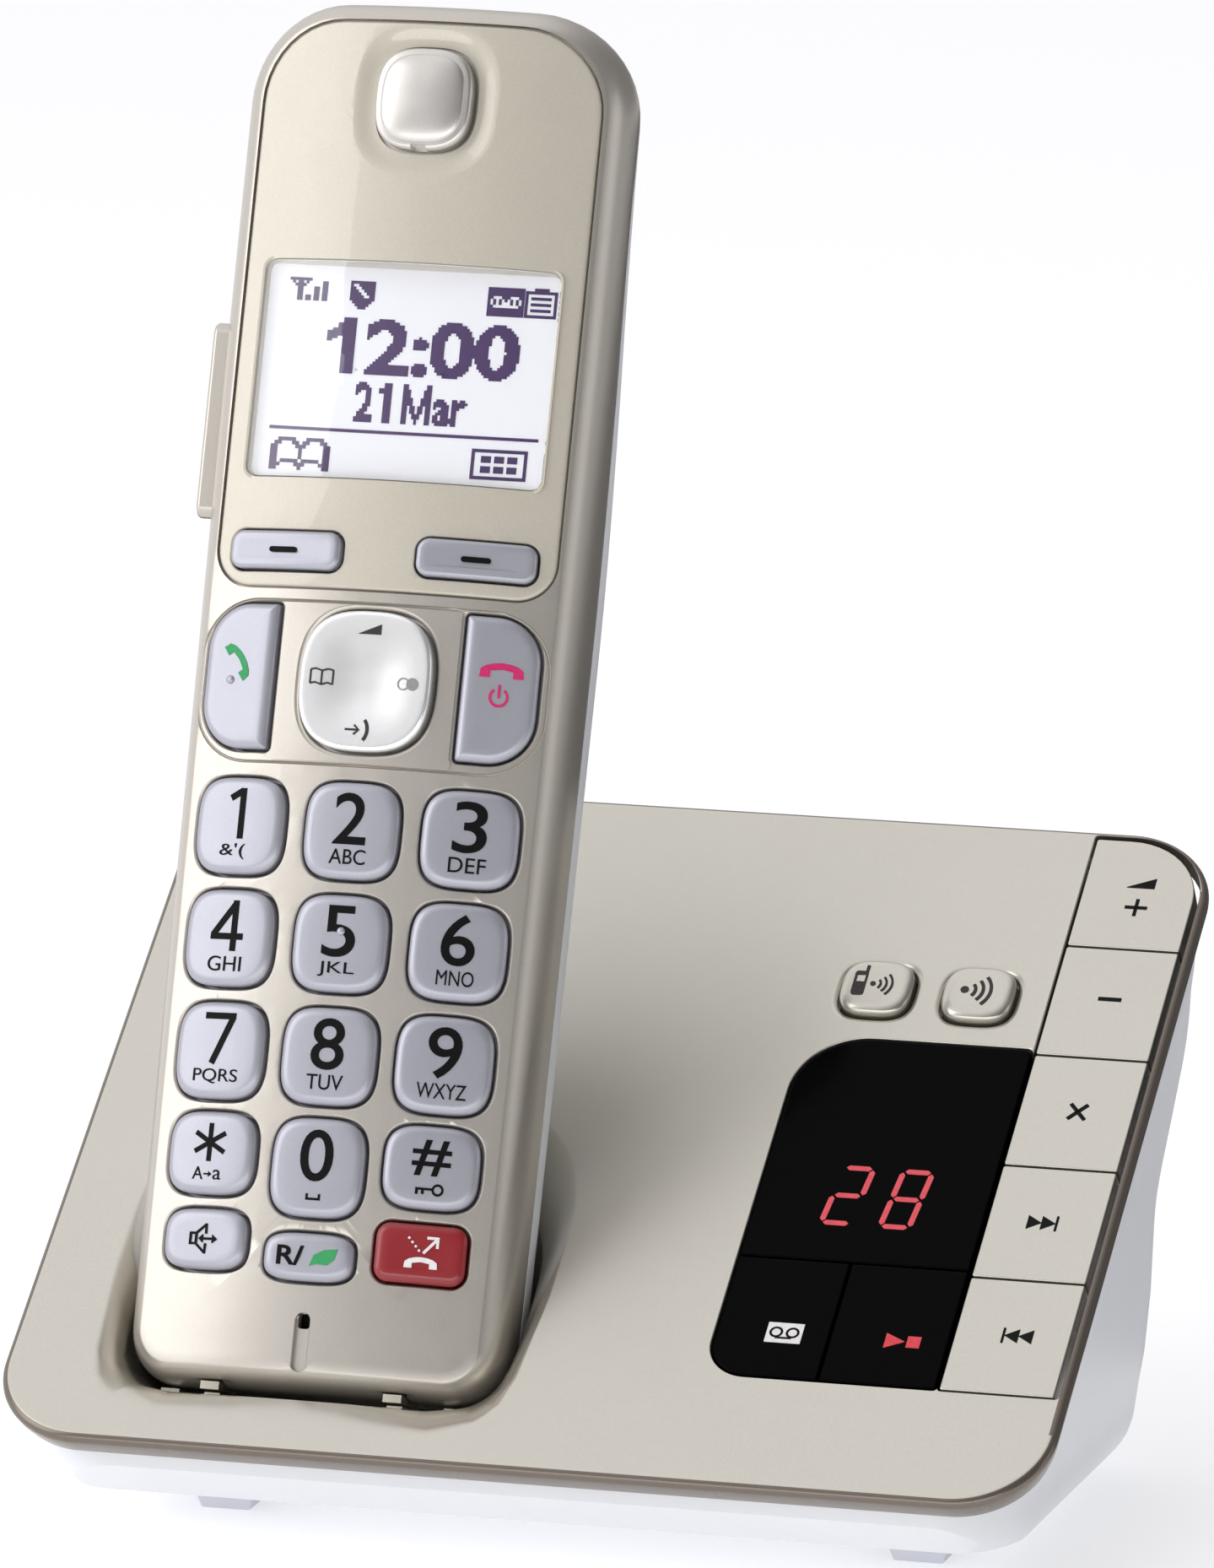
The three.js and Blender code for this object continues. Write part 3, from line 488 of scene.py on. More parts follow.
def combined(body, tools, operation="DIFFERENCE"):
    """The body's mesh with each tool mesh cut from it, joined to it, or kept in common with it."""
    target = bpy.data.objects.new("target", body)
    bpy.context.collection.objects.link(target)
    helpers = []
    for tool in tools:
        helper = bpy.data.objects.new("tool", tool)
        bpy.context.collection.objects.link(helper)
        helpers.append(helper)
        modifier = target.modifiers.new("combine", "BOOLEAN")
        modifier.operation = operation
        modifier.solver = "MANIFOLD"
        modifier.object = helper
    graph = bpy.context.evaluated_depsgraph_get()
    result = bpy.data.meshes.new_from_object(target.evaluated_get(graph))
    result.materials.clear()
    for extra in [target, *helpers]:
        bpy.data.objects.remove(extra)
    return result


def joined(meshes):
    """Separate bodies as one mesh."""
    vertices, faces = [], []
    for mesh in meshes:
        start = len(vertices)
        vertices += [tuple(v.co) for v in mesh.vertices]
        faces += [tuple(start + i for i in p.vertices) for p in mesh.polygons]
    return shape_mesh(vertices, faces)


def moved(mesh, matrix):
    mesh.transform(matrix)
    return mesh


def show(name, mesh, place, node, finish, sharp=32):
    """A finished piece at its place, riding with the body of that CAD node."""
    mesh.transform(Matrix.Scale(MM, 4))
    mesh.name = name
    for polygon in mesh.polygons:
        polygon.use_smooth = True
    mesh.set_sharp_from_angle(angle=math.radians(sharp))
    if not mesh.materials:
        mesh.materials.append(FINISHES[finish])
    piece = bpy.data.objects.new(name, mesh)
    bpy.context.collection.objects.link(piece)
    piece.matrix_world = place
    weighted = piece.modifiers.new("flat_faces_stay_flat", "WEIGHTED_NORMAL")
    weighted.keep_sharp = True
    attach(piece, BODY[node])
    return piece


def stand_in(node, mesh, place, finish, sharp=32):
    """A finished piece shown instead of that CAD node."""
    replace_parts(show(node + "_fine", mesh, place, node, finish, sharp), node)


def key_place(x, y):
    """A key's own frame on the crowned face."""
    lean = math.atan(x / CROWN)
    return HANDSET @ Matrix.Translation(Vector((x, y, crown(x))) * MM) @ Matrix.Rotation(lean, 4, "Y")


# ---------------------------------------------------------------- handset casing
LOW_HALF, HIGH_HALF, TAPER_LENGTH = 24.4, 25.4, 130
SHOULDER, SHOULDER_DROP = 2.6, 5.5
LOW_CORNER, HIGH_CORNER = 7, 13
LOW_THICK, HIGH_THICK, THIN_FROM, THIN_TO = 26, 18.5, 95, 170
TUMBLE = 1.1
# The rear's cross-section; its lowest ring stops just short of the middle line.
REAR_POWER, REAR_END, REAR_REACH = 0.72, 5, 0.985 * math.pi / 2
CORNER_STEPS, ACROSS_STEPS, ALONG_STEPS, REAR_STEPS, EDGE_STEPS = 12, 16, 60, 14, 9
FACE_INSETS = [4, 6, 9, 12, 15, 18, 21, 23.2]


def taper(y):
    return mix(LOW_HALF, HIGH_HALF, y / TAPER_LENGTH) / HIGH_HALF


def thinning(y):
    return smooth((y - THIN_FROM) / (THIN_TO - THIN_FROM))


def casing_plan(side_inset, end_inset):
    """Points round the handset at that inset from its sides and ends, close enough for its curves."""
    half = HIGH_HALF - side_inset
    y0, y1 = end_inset, LENGTH - end_inset
    low = min(max(LOW_CORNER - side_inset, 1), half - 0.02)
    high = min(max(HIGH_CORNER - side_inset, 1), half - 0.02)
    points = []

    def corner(cx, cy, radius, start):
        for i in range(CORNER_STEPS):
            angle = start + i / CORNER_STEPS * math.pi / 2
            points.append((cx + radius * math.cos(angle), cy + radius * math.sin(angle)))

    def side(a, b, steps):
        for i in range(steps):
            points.append((mix(a[0], b[0], i / steps), mix(a[1], b[1], i / steps)))

    corner(-half + low, y0 + low, low, math.pi)
    side((-half + low, y0), (half - low, y0), ACROSS_STEPS)
    corner(half - low, y0 + low, low, -math.pi / 2)
    side((half, y0 + low), (half, y1 - high), ALONG_STEPS)
    corner(half - high, y1 - high, high, 0)
    side((half - high, y1), (-half + high, y1), ACROSS_STEPS)
    corner(-half + high, y1 - high, high, math.pi / 2)
    side((-half, y1 - high), (-half, y0 + low), ALONG_STEPS)
    return [(x * taper(y), y) for x, y in points]


def shoulder(t):
    """(inset, drop) along the edge of the face, from the face's crease at 0 down to the side at 1."""
    controls = [(0, 0), (0.75, 0.42), (2.5, 1.5), (SHOULDER, SHOULDER_DROP)]
    weights = [(1 - t) ** 3, 3 * t * (1 - t) ** 2, 3 * t * t * (1 - t), t ** 3]
    across = sum(w * c[0] for w, c in zip(weights, controls))
    down = sum(w * c[1] for w, c in zip(weights, controls))
    return SHOULDER - across, down


def casing(wall=0):
    """The whole handset as one closed body, with that much taken off every face."""
    rings = []
    for i in range(REAR_STEPS, -1, -1):
        angle = i / REAR_STEPS * REAR_REACH
        share = 1 - math.cos(angle) ** REAR_POWER
        depth = math.sin(angle) ** REAR_POWER
        rings.append([
            (
                x * (1 - TUMBLE * thinning(y) / HIGH_HALF),
                y,
                PART - (mix(LOW_THICK, HIGH_THICK, thinning(y)) + PART - wall) * depth,
            )
            for x, y in casing_plan(wall + (HIGH_HALF - wall) * share, wall + REAR_END * share)
        ])
    for i in range(EDGE_STEPS, -1, -1):
        inset, drop = shoulder(i / EDGE_STEPS)
        rings.append([
            (x, y, crown(x) - drop - wall * (1 - 0.5 * i / EDGE_STEPS))
            for x, y in casing_plan(wall + inset, wall + inset)
        ])
    for inset in FACE_INSETS:
        rings.append([(x, y, crown(x) - wall) for x, y in casing_plan(inset, inset)])
    return loft(rings, strips_across(len(rings[0]), CORNER_STEPS + ACROSS_STEPS // 2))


def crowned_body(plan, low, high, insets):
    """A body under the crowned face, between two heights above it; insets run from the edge inwards."""
    levels = [(low, inset) for inset in reversed(insets)]
    levels += [(high, inset) for inset in insets]
    return stack(plan, levels, crown)


# Keys: name -> (x, y, plan); plans are in the key's own frame.
KEY_TOP, KEY_BODY, KEY_FOOT, KEY_FLANGE = 0.9, -2.7, -3.6, 0.6
SOFT = 3.5
HANDSET_KEYS = {}
# The digits' rows from the top: height and pitch.
for row, (row_y, pitch) in enumerate([(70.2, 15), (56, 14.9), (41.8, 14.6)]):
    for column in range(3):
        plan = pillow(0, 0, 12.2, 12.2, SOFT)
        HANDSET_KEYS[f"key_{3 * row + column + 1}"] = ((column - 1) * pitch, row_y, plan)
HANDSET_KEYS.update({
    "key_star": (-14.3, 28.9, pillow(0, 0, 12, 10.4, SOFT)),
    "key_0": (0, 27.8, pillow(0, 0, 12, 12.4, SOFT)),
    "key_hash": (14.3, 28.9, pillow(0, 0, 12, 10.4, SOFT)),
    "speakerphone_key": (-14, 18.1, pillow(0, 0, 11.4, 7.6, SOFT)),
    "recall_key": (0, 16.6, pillow(0, 0, 11.6, 6, SOFT)),
    "call_block_key": (14, 18.1, rounded(around(0, 0, 11.4, 7.4, 1.8), 10, 8)),
    "talk_key": (-17.2, 89.2, rounded(around(0, 0, 9.6, 18.4, [5.8, 0.4, 0.4, 5.8]), 12, 8)),
    "off_key": (16.8, 89.2, rounded(around(0, 0, 9.6, 18.4, [0.4, 5.8, 5.8, 0.4]), 12, 8)),
    "soft_key_left": (-12.6, 105.3, rounded(around(0, 0, 15.2, 4.8, 1.6), 10, 12)),
    "soft_key_right": (12.4, 105.3, rounded(around(0, 0, 15.2, 4.8, 1.6), 10, 12)),
})
# Rectangles are (left, low, right, high, radii); round keys are (x, y, width, height, power).
WINDOW = (-22.3, 100.6, 22.3, 173.2, [5, 5, 10.5, 10.5])
WINDOW_THICK = 1.1
CLUSTER = (-23.1, 78.3, 22.8, 99.2, 7.6)
CENTRE_PLATE = (-12.05, 78.8, 11.65, 98.7, 0.5)
NAVIGATOR = (0, 89.1, 17.2, 17.8, 2.8)
NAV_TOP, NAV_DISH, NAV_RIM, NAV_DISH_WIDTH = 1.1, 0.4, 1.3, 6.9
EAR = (0, 163.2, 12.6, 13, 2.9)
EAR_TOP, EAR_DOME, EAR_RIM, EAR_DOME_WIDTH = 1.2, 0.85, 0.9, 5.1
EAR_DISH, EAR_DISH_WIDTH = 0.6, 3.2
SPEAKER_HOLE = (0, 163, 6, 6, 3)
# Middle x and y, width and height.
SCREEN = (0, 128.6, 38.8, 27.8)
SCREEN_RIM = 1.4
MIC = (0, 6, 1.9, 7.4)
MIC_HOLE = (0, 8.7, 1.5, 1.9)
SIDE_SLOT = (-29, -20, 109.5, 135.1, -9.9, -6.1)
CONTACT_X = 11.9
COVER = (-17.4, 57, 17.4, 112, 4)
SLOT_Y, SLOT_PITCH, SLOT_ROWS = 143, 3.2, 5


def key_hole(x, y, plan, edge=0.4, depth=-6.5):
    """The hole for a key, with a softened mouth, in the handset's frame."""
    lean = math.atan(x / CROWN)
    levels = [(depth, -GAP)] + arc(-edge, 0.02, -GAP, -GAP - edge, 5) + [(1.5, -GAP - edge - 0.3)]
    place = Matrix.Translation((x, y, crown(x))) @ Matrix.Rotation(lean, 4, "Y")
    return moved(stack(plan, levels, crown), place)


def make_front_shell():
    tools = [casing(WALL), block(-40, 40, -5, 180, -60, PART + GAP / 2)]
    tools.append(crowned_body(
        rounded(WINDOW, 10, 24), -WINDOW_THICK - GAP / 2, 3, [-0.15, 1, 3, 6, 9, 12, 15, 18, 21, 22.1],
    ))
    for name, (x, y, plan) in HANDSET_KEYS.items():
        if name.startswith("soft_key"):
            tools.append(key_hole(x, y, plan, 0.05, -8))
        else:
            tools.append(key_hole(x, y, plan))
    tools.append(key_hole(0, 0, pillow(*NAVIGATOR), 0.5))
    x, y, width, height = SCREEN
    tools.append(stack(rounded(around(x, y, width + 1, height + 1, 1.5)), [(-9, 0), (3, 0)]))
    tools.append(stack(pillow(*SPEAKER_HOLE), [(-9, 0), (3, 0)]))
    mic = rounded(around(*MIC, 0.9))
    tools.append(stack(mic, [(-0.75, 0), (-0.1, 0), (0.05, -0.15), (2, -0.15)]))
    tools.append(stack(rounded(around(*MIC_HOLE, 0.4)), [(-6, 0), (1, 0)]))
    tools.append(block(*SIDE_SLOT))
    tools += [block(x - 1.5, x + 1.5, -2, 0.85, -9.7, -1.9) for x in (-CONTACT_X, CONTACT_X)]
    outline = rounded(CLUSTER, 10, 24)
    line = combined(
        stack(outline, [(-0.28, 0.12), (0.05, -0.06), (5, -0.06)], crown),
        [stack(outline, [(-2, 0.24), (-0.28, 0.24), (0.05, 0.42), (6, 0.42)], crown)],
    )
    tools.append(line)
    plate = crowned_body(rounded(CENTRE_PLATE, 4, 16), -1, 0.22, [0, 1, 3, 5, 7, 9, 9.8])
    outer = combined(casing(), [plate], "UNION")
    stand_in("handset_front_shell", combined(outer, tools), HANDSET, "silver", 34)


def make_rear_shell():
    front_half = block(-40, 40, -5, 180, PART - GAP / 2, 30)
    tools = [casing(WALL), front_half, stack(rounded(COVER), [(-40, -GAP / 2), (-19, -GAP / 2)])]
    for row in range(SLOT_ROWS):
        y = SLOT_Y + (row - (SLOT_ROWS - 1) / 2) * SLOT_PITCH
        tools.append(stack(rounded(around(0, y, 14, 1.3, 0.6), 6), [(-40, 0), (-16, 0)]))
    stand_in("handset_rear_shell", combined(casing(), tools), HANDSET, "white")
    plate = combined(casing(), [casing(WALL)])
    plate = combined(plate, [stack(rounded(COVER), [(-40, GAP / 2), (-16, GAP / 2)])], "INTERSECT")
    ridges = [
        stack(rounded(around(0, 103 + 1.8 * i, 16 - 1.2 * i, 0.8, 0.35), 4), [(-26.6, 0), (-25.6, 0)])
        for i in range(4)
    ]
    stand_in("battery_cover", combined(plate, ridges), HANDSET, "white")


def make_window():
    """The window: lacquered on its face round a clear pane, with a soft dish round the earpiece."""
    insets = [0.9, 2, 4, 7, 10, 13, 16, 19, 21, 22.15]
    plate = stack(
        rounded(WINDOW, 10, 24),
        [(-WINDOW_THICK, i) for i in reversed([0.15, *insets])]
        + arc(-0.35, 0, 0.15, 0.5, 4) + [(0, i) for i in insets],
        crown,
    )
    x, y, width, height = SCREEN
    dish = [
        (0.015 - EAR_DISH * (1 + math.cos(math.pi * i / 12)) / 2, -0.4 - EAR_DISH_WIDTH * i / 12)
        for i in range(13)
    ]
    ear = pillow(*EAR)
    opening = rounded(around(x, y, width, height, 1.6), 8, 24)
    tools = [
        stack(ear, [(-3, -0.4), *dish, (2, -3.7)], crown),
        stack(ear, [(-4, -GAP), (3, -GAP)]),
        stack(opening, [(-3, 0.25), (-0.3, 0.05), (0.05, -0.1), (5, -0.2)], crown),
    ]
    for name in ("soft_key_left", "soft_key_right"):
        tools.append(key_hole(*HANDSET_KEYS[name], 0.25, -4))
    stand_in("window_panel", combined(plate, tools), HANDSET, "window")
    pane = crowned_body(
        rounded(around(x, y, width - 0.2, height - 0.2, 1.4), 8, 24), -0.9, -0.12, [0, 1, 3, 6, 9, 12, 13.8],
    )
    show("window_pane", pane, HANDSET, "window_panel", "pane")


def make_screen():
    x, y, width, height = SCREEN
    body = stack(
        rounded(around(x, y, width + 2 * SCREEN_RIM, height + 2 * SCREEN_RIM, 1.5)),
        [(-7.4, 0), (-5.9, 0), (-5.9, SCREEN_RIM), (-4.06, SCREEN_RIM), (-4, SCREEN_RIM + 0.06)],
    )
    stand_in("lcd_module", body, HANDSET, "lcd")
    border = stack(rounded(around(x, y, width + 0.7, height + 0.7, 1.6)), [(-4.9, 0), (-2.35, 0)])
    bevel = stack(
        rounded(around(x, y, width, height, 1.4)),
        [(-6, 0.35), (-3.9, 0.35), (-2.3, -0.1), (0, -0.4)],
    )
    show("screen_frame", combined(border, [bevel]), HANDSET, "handset_front_shell", "window")


# ---------------------------------------------------------------- keys
def key_levels(edge, drop):
    """A key's levels, from its flange up to a cap whose edge rounds off over that width and height."""
    return [
        (KEY_FOOT, -KEY_FLANGE),
        (KEY_BODY, -KEY_FLANGE),
        (KEY_BODY, 0),
        *arc(KEY_TOP - drop, KEY_TOP, 0, edge, 8),
        (KEY_TOP + 0.015, edge + 0.7),
    ]


def make_handset_keys():
    for name, (x, y, plan) in HANDSET_KEYS.items():
        levels = key_levels(0.6, 0.5) if name.startswith("soft_key") else key_levels(1.15, 0.75)
        if name.startswith("key_"):
            levels += [(KEY_TOP + 0.015, inset) for inset in (2.6, 3.5, 4.4)]
        finish = "red" if name == "call_block_key" else "keycap"
        stand_in(name, stack(plan, levels, crown), key_place(x, y), finish, 40)
    dish = [
        (NAV_TOP - NAV_DISH * (1 - math.cos(math.pi * i / 12)) / 2, NAV_RIM + NAV_DISH_WIDTH * i / 12)
        for i in range(1, 13)
    ]
    levels = [(-3.6, -0.5), (-3.2, -0.5), (-3.2, 0), *arc(0.45, NAV_TOP, 0, 0.6, 6), (NAV_TOP, 1.0), *dish]
    stand_in("navigator_key", stack(pillow(*NAVIGATOR), levels), HANDSET, "bright", 40)
    dome = arc(EAR_TOP, EAR_TOP + EAR_DOME, EAR_RIM, EAR_RIM + EAR_DOME_WIDTH, 10)
    cap = stack(pillow(*EAR), [(-0.95, 0), *arc(0.5, 1.15, 0, 0.5, 5), *dome])
    notch = stack(rounded(around(0, EAR[1] - EAR[3] / 2, 2, 1.3, 0.2)), [(-0.5, 0), (3, 0)])
    stand_in("earpiece_cap", combined(cap, [notch]), HANDSET, "satin", 40)
    bar = stack(rounded(around(0, 0, 3.2, 25, 1.5), 6), [(0, 0), *arc(4.1, 4.7, 0, 0.7, 5)])
    flange = block(-1.6, 1.6, -13.5, 13.5, -0.4, 0.2)
    bar = combined(bar, [flange], "UNION")
    lie = Matrix.Translation((-22.2, 122.3, -8)) @ Matrix.Rotation(math.radians(-90), 4, "Y")
    stand_in("side_volume_key", moved(bar, lie), HANDSET, "silver")


# ---------------------------------------------------------------- base
# Places on the panel are measured from the middle of its front edge, along its slope.
KEYS_X0, KEYS_X1, KEYS_LOW, KEYS_HIGH = 51.6, 66.5, 18.1, 111.4
LENS_X0, LENS_X1, LENS_LOW, LENS_HIGH = 21.6, 51, 37.6, 74.5
LINE, SPLIT = 0.35, 36
BASE_KEY_FOOT = -3.2
COLUMN = ["skip_back_key", "skip_forward_key", "erase_key", "volume_down_key", "volume_up_key"]
COLUMN_PITCH = (KEYS_HIGH - KEYS_LOW) / len(COLUMN)
INTERCOM = (29, 82.8, 9.2, 8.8, 3.1)
LOCATOR = (42.3, 82.8, 9.2, 8.8, 3.1)
RAISED_TOP = 1.29
ANSWER_MARK, PLAY_MARK = (30.2, 25.2), (45.4, 25.2)
FLUSH_EDGE = 0.22
POCKET_FLOOR, POCKET_ROOM, POCKET_WALL = -1.2, 0.7, 1.7
FOOT_HALF = LOW_HALF + 0.15
POCKET_HALF, POCKET_CORNER = FOOT_HALF + POCKET_ROOM, LOW_CORNER + POCKET_ROOM
RIB_X = 18.5
MOUTH_DEEP, MOUTH_WIDE, MOUTH_FRONT, MOUTH_SIDE, MOUTH_SHALLOW = 3.4, 6.2, 0.6, 0.55, 0.1
MOUTH_TURN = (4, 8)
MOUTH_POWER, MOUTH_STEPS = 2.2, 18
# How far the darker band finish, which is painted shade, comes in from the panel's outline.
BAND_REACH = 1.3
PANEL = (-PANEL_WIDTH / 2, 0, PANEL_WIDTH / 2, PANEL_SLOPE, PANEL_CORNER)
FROM_HANDSET = SLOPE.inverted() @ HANDSET


def in_panel(mesh):
    """A mesh from the handset's frame, in the panel's; both are in millimetres."""
    shift = Matrix.Translation(FROM_HANDSET.translation / MM)
    return moved(mesh, shift @ FROM_HANDSET.to_3x3().to_4x4())


def foot_section(grow):
    """The handset's cross-section near its foot, grown by grow, anticlockwise from above."""
    points = []
    rear_steps, front_steps = 40, 8
    for i in range(rear_steps):
        angle = (i + 0.5) / rear_steps * math.pi
        share = abs(math.cos(angle)) ** REAR_POWER
        x = -math.copysign((FOOT_HALF + grow) * share, math.cos(angle))
        points.append((x, PART - (LOW_THICK + PART + grow) * math.sin(angle) ** REAR_POWER))
    front = []
    for i in range(front_steps, -1, -1):
        inset, drop = shoulder(i / front_steps)
        x = FOOT_HALF - inset
        front.append((x + grow * (1 - inset / SHOULDER), crown(x) - drop + grow * inset / SHOULDER))
    inner_half = FOOT_HALF - SHOULDER
    front += [(inner_half * t, crown(inner_half * t) + grow) for t in (0.75, 0.5, 0.25, 0)]
    mirrored = [(-x, z) for x, z in front[:-1]]
    return points + front + mirrored[::-1]


def turning(z):
    """How far the mouth has turned from before the foot (0) to beside it (1) at a depth in the handset."""
    start, end = MOUTH_TURN
    return min(1, max(0, (-z - start) / (end - start)))


def mouth_depth(x, z, w):
    """The mouth is shallow before the foot's middle, and as deep as the foot's corners need elsewhere."""
    if w >= 0 or w < -MOUTH_DEEP:
        return w
    before = mix(MOUTH_SHALLOW, 1, min(1, (x / LOW_HALF) ** 2))
    return w * mix(before, 1, turning(z))


def pocket_ring(w, grow):
    """The pocket's outline at height w above the panel, wider by grow, in the panel's frame."""
    sine, cosine = math.sin(LEAN - TILT), math.cos(LEAN - TILT)
    deepest = -LOW_THICK - POCKET_ROOM
    front_grow = grow * MOUTH_FRONT
    centre_x, centre_y = POCKET_HALF - POCKET_CORNER, POCKET_FLOOR + POCKET_CORNER
    wide, tall = POCKET_CORNER + grow * MOUTH_SIDE, POCKET_CORNER + front_grow
    ring = []
    for x, z in foot_section(POCKET_ROOM):
        level = mouth_depth(x, z, w)
        x *= 1 + grow * MOUTH_SIDE / LOW_HALF
        z -= grow * 0.5 * z / deepest
        front = POCKET_FLOOR - front_grow
        y = mix(front, max((level - z * cosine) / sine, front), turning(z))
        out, down = max(0, abs(x) - centre_x) / wide, max(0, centre_y - y) / tall
        reach = math.hypot(out, down)
        if out > 0 and down > 0 and reach > 1:
            x = math.copysign(centre_x + out * wide / reach, x)
            y = centre_y - down * tall / reach
        ring.append((HANDSET_X + x, HANDSET_UP + y / cosine - level * sine / cosine, level))
    return ring[::-1]


def sweep(grow, y_from, y_to):
    """The handset's foot, grown by grow, as a straight body along the handset, in the panel's frame."""
    section = foot_section(grow)[::-1]
    return in_panel(loft([[(x, y, z) for x, z in section] for y in (y_from, y_to)]))


def in_the_band(x, y):
    """Whether a point of the panel lies within BAND_REACH of its outline."""
    past_x = abs(x) - PANEL_WIDTH / 2 + PANEL_CORNER
    past_y = max(PANEL_CORNER - y, y - PANEL_SLOPE + PANEL_CORNER)
    past = math.hypot(past_x, past_y) if min(past_x, past_y) > 0 else max(past_x, past_y)
    return past > PANEL_CORNER - BAND_REACH


def make_panel():
    levels = [
        (-PANEL_BAND, BAND_INSET + 0.15),
        (-PANEL_BAND + 0.15, BAND_INSET),
        (-2.4, 0.42),
        (-1.3, 0.06),
        *arc(-1, 0, 0, EDGE_ROUND, 9),
    ]
    skin = stack(rounded(PANEL, 20), levels)
    hollow = stack(rounded(PANEL, 20), [(-9, 2.4), (-PANEL_SKIN, 2.4)])
    below = block(-80, 80, -20, 140, -80, -0.7)
    tub = combined(sweep(POCKET_ROOM + POCKET_WALL, POCKET_FLOOR - POCKET_WALL, 60), [below], "INTERSECT")
    body = combined(combined(skin, [hollow]), [tub], "UNION")
    mouth_levels = [(-6.5, 0)]
    for i in range(MOUTH_STEPS + 1):
        t = i / MOUTH_STEPS
        mouth_levels.append((0.015 - MOUTH_DEEP * (1 - t) ** MOUTH_POWER, 0.1 + MOUTH_WIDE * t))
    mouth_levels.append((0.6, MOUTH_WIDE + 0.8))
    mouth = loft([pocket_ring(w, grow) for w, grow in mouth_levels])
    corners = [POCKET_CORNER, POCKET_CORNER, 1, 1]
    foot_plan = rounded((-POCKET_HALF, POCKET_FLOOR, POCKET_HALF, 130, corners), 14)
    foot_end = in_panel(stack(foot_plan, [(-90, 0), (60, 0)]))
    pocket = combined(sweep(POCKET_ROOM, POCKET_FLOOR, 120), [foot_end], "INTERSECT")
    body = combined(body, [pocket, mouth])
    ribs = [
        in_panel(block(x - 1.2, x + 1.2, POCKET_FLOOR - 0.5, -GAP, -20, -7))
        for x in (-RIB_X, RIB_X)
    ]
    body = combined(body, ribs, "UNION")
    tools = [
        in_panel(block(x - 1.3, x + 1.3, -7.2, 0.45, -7.9, -3.3))
        for x in (-CONTACT_X, CONTACT_X)
    ]
    wide = -GAP - FLUSH_EDGE
    through = [(-4.6, -GAP), *arc(-FLUSH_EDGE, 0.01, -GAP, wide, 4), (1, wide - 0.2)]
    column = (KEYS_X0, KEYS_LOW, KEYS_X1, KEYS_HIGH, [0.3, 0.3, 10, 0.3])
    tools.append(stack(rounded(column, 14), through))
    display = (LENS_X0, KEYS_LOW, LENS_X1, LENS_HIGH, [5, 0.3, 0.8, 9])
    tools.append(stack(rounded(display, 14), through))
    for plan in (pillow(*INTERCOM), pillow(*LOCATOR)):
        tools.append(stack(plan, [(-4.6, -GAP), *arc(-0.5, 0.01, -GAP, -1.2, 5), (1, -1.6)]))
    body = combined(body, tools)
    # Painted shade: the panel's outer flanks and the strip right of the key column take the darker band
    # finish.
    for finish in ("champagne", "band"):
        body.materials.append(FINISHES[finish])
    for polygon in body.polygons:
        x, y, z = polygon.center
        flank = z < -0.03 and abs(polygon.normal.z) < 0.93
        painted_shade_beside_keys = x > KEYS_X1 + GAP + 0.1 and y > KEYS_LOW
        polygon.material_index = int(painted_shade_beside_keys or (flank and in_the_band(x, y)))
    stand_in("base_top_panel", body, SLOPE, "champagne", 30)


def make_base_keys():
    for i, name in enumerate(COLUMN):
        y0 = KEYS_LOW + i * COLUMN_PITCH
        radii = [0.3, 0.3, 10 if name == COLUMN[-1] else 0.3, 0.3]
        plan = rounded((KEYS_X0, y0, KEYS_X1 - LINE, y0 + COLUMN_PITCH - LINE, radii), 12)
        body = stack(plan, [(BASE_KEY_FOOT, 0), *arc(-0.2, 0, 0, 0.2, 4)])
        stand_in(name, body, SLOPE, "champagne")
    top, left, right = LENS_LOW - LINE, SPLIT - LINE / 2, SPLIT + LINE / 2
    dark = {
        "answer_key": ((LENS_X0, KEYS_LOW, left, top, [5, 0.3, 0.3, 0.3]), BASE_KEY_FOOT),
        "play_stop_key": ((right, KEYS_LOW, LENS_X1, top, 0.3), BASE_KEY_FOOT),
        "display_lens": ((LENS_X0, LENS_LOW, LENS_X1, LENS_HIGH, [0.3, 0.3, 0.8, 9]), -PANEL_SKIN),
    }
    for name, (rect, low) in dark.items():
        body = stack(rounded(rect, 14), [(low, 0), *arc(-FLUSH_EDGE, 0, 0, FLUSH_EDGE, 4)])
        stand_in(name, body, SLOPE, "gloss_black")
    levels = [(-4, -0.9), (-2.9, -0.9), (-2.9, 0), *arc(0.45, 1.25, 0, 1.3, 8), (1.3, 2.6)]
    for name, spec in (("intercom_key", INTERCOM), ("locator_key", LOCATOR)):
        stand_in(name, stack(pillow(*spec), levels), SLOPE, "champagne", 40)


# How far the rear wall reaches back at several heights.
OVERHANG = [(0, 0), (35, 0), (38, 1.3), (52, 12.4), (56, 13.9), (72, 15), (90, 16)]
HOUSING_FLOOR, HOUSING_WALL, HOUSING_CORNER = 4.2, 1.7, 11
HOUSING_HALF, HOUSING_FRONT, HOUSING_REAR = 60.9, 7.8, 76
# The wall curves out by BULGE over BULGE_RISE, then leans out, and its sides by SPREAD over SPREAD_RISE.
BULGE, BULGE_RISE, LEAN_OUT, SPREAD, SPREAD_RISE = 2.6, 5, 0.045, 1.1, 12
REAR_ROUND = 8
HOUSING_RISES = [0, 0.15, 0.4, 0.8, 1.4, 2, 2.7, 3.5, 4.2, 5, 6.2, 8, 12]
HOUSING_HEIGHTS = [
    24, 33, 34, 35, 36, 37, 38, 39.5, 41, 45, 50, 51, 52, 53, 54, 55, 56, 57, 58, 72, 90,
]
SOUND_ROWS, SOUND_PITCH = 7, 4


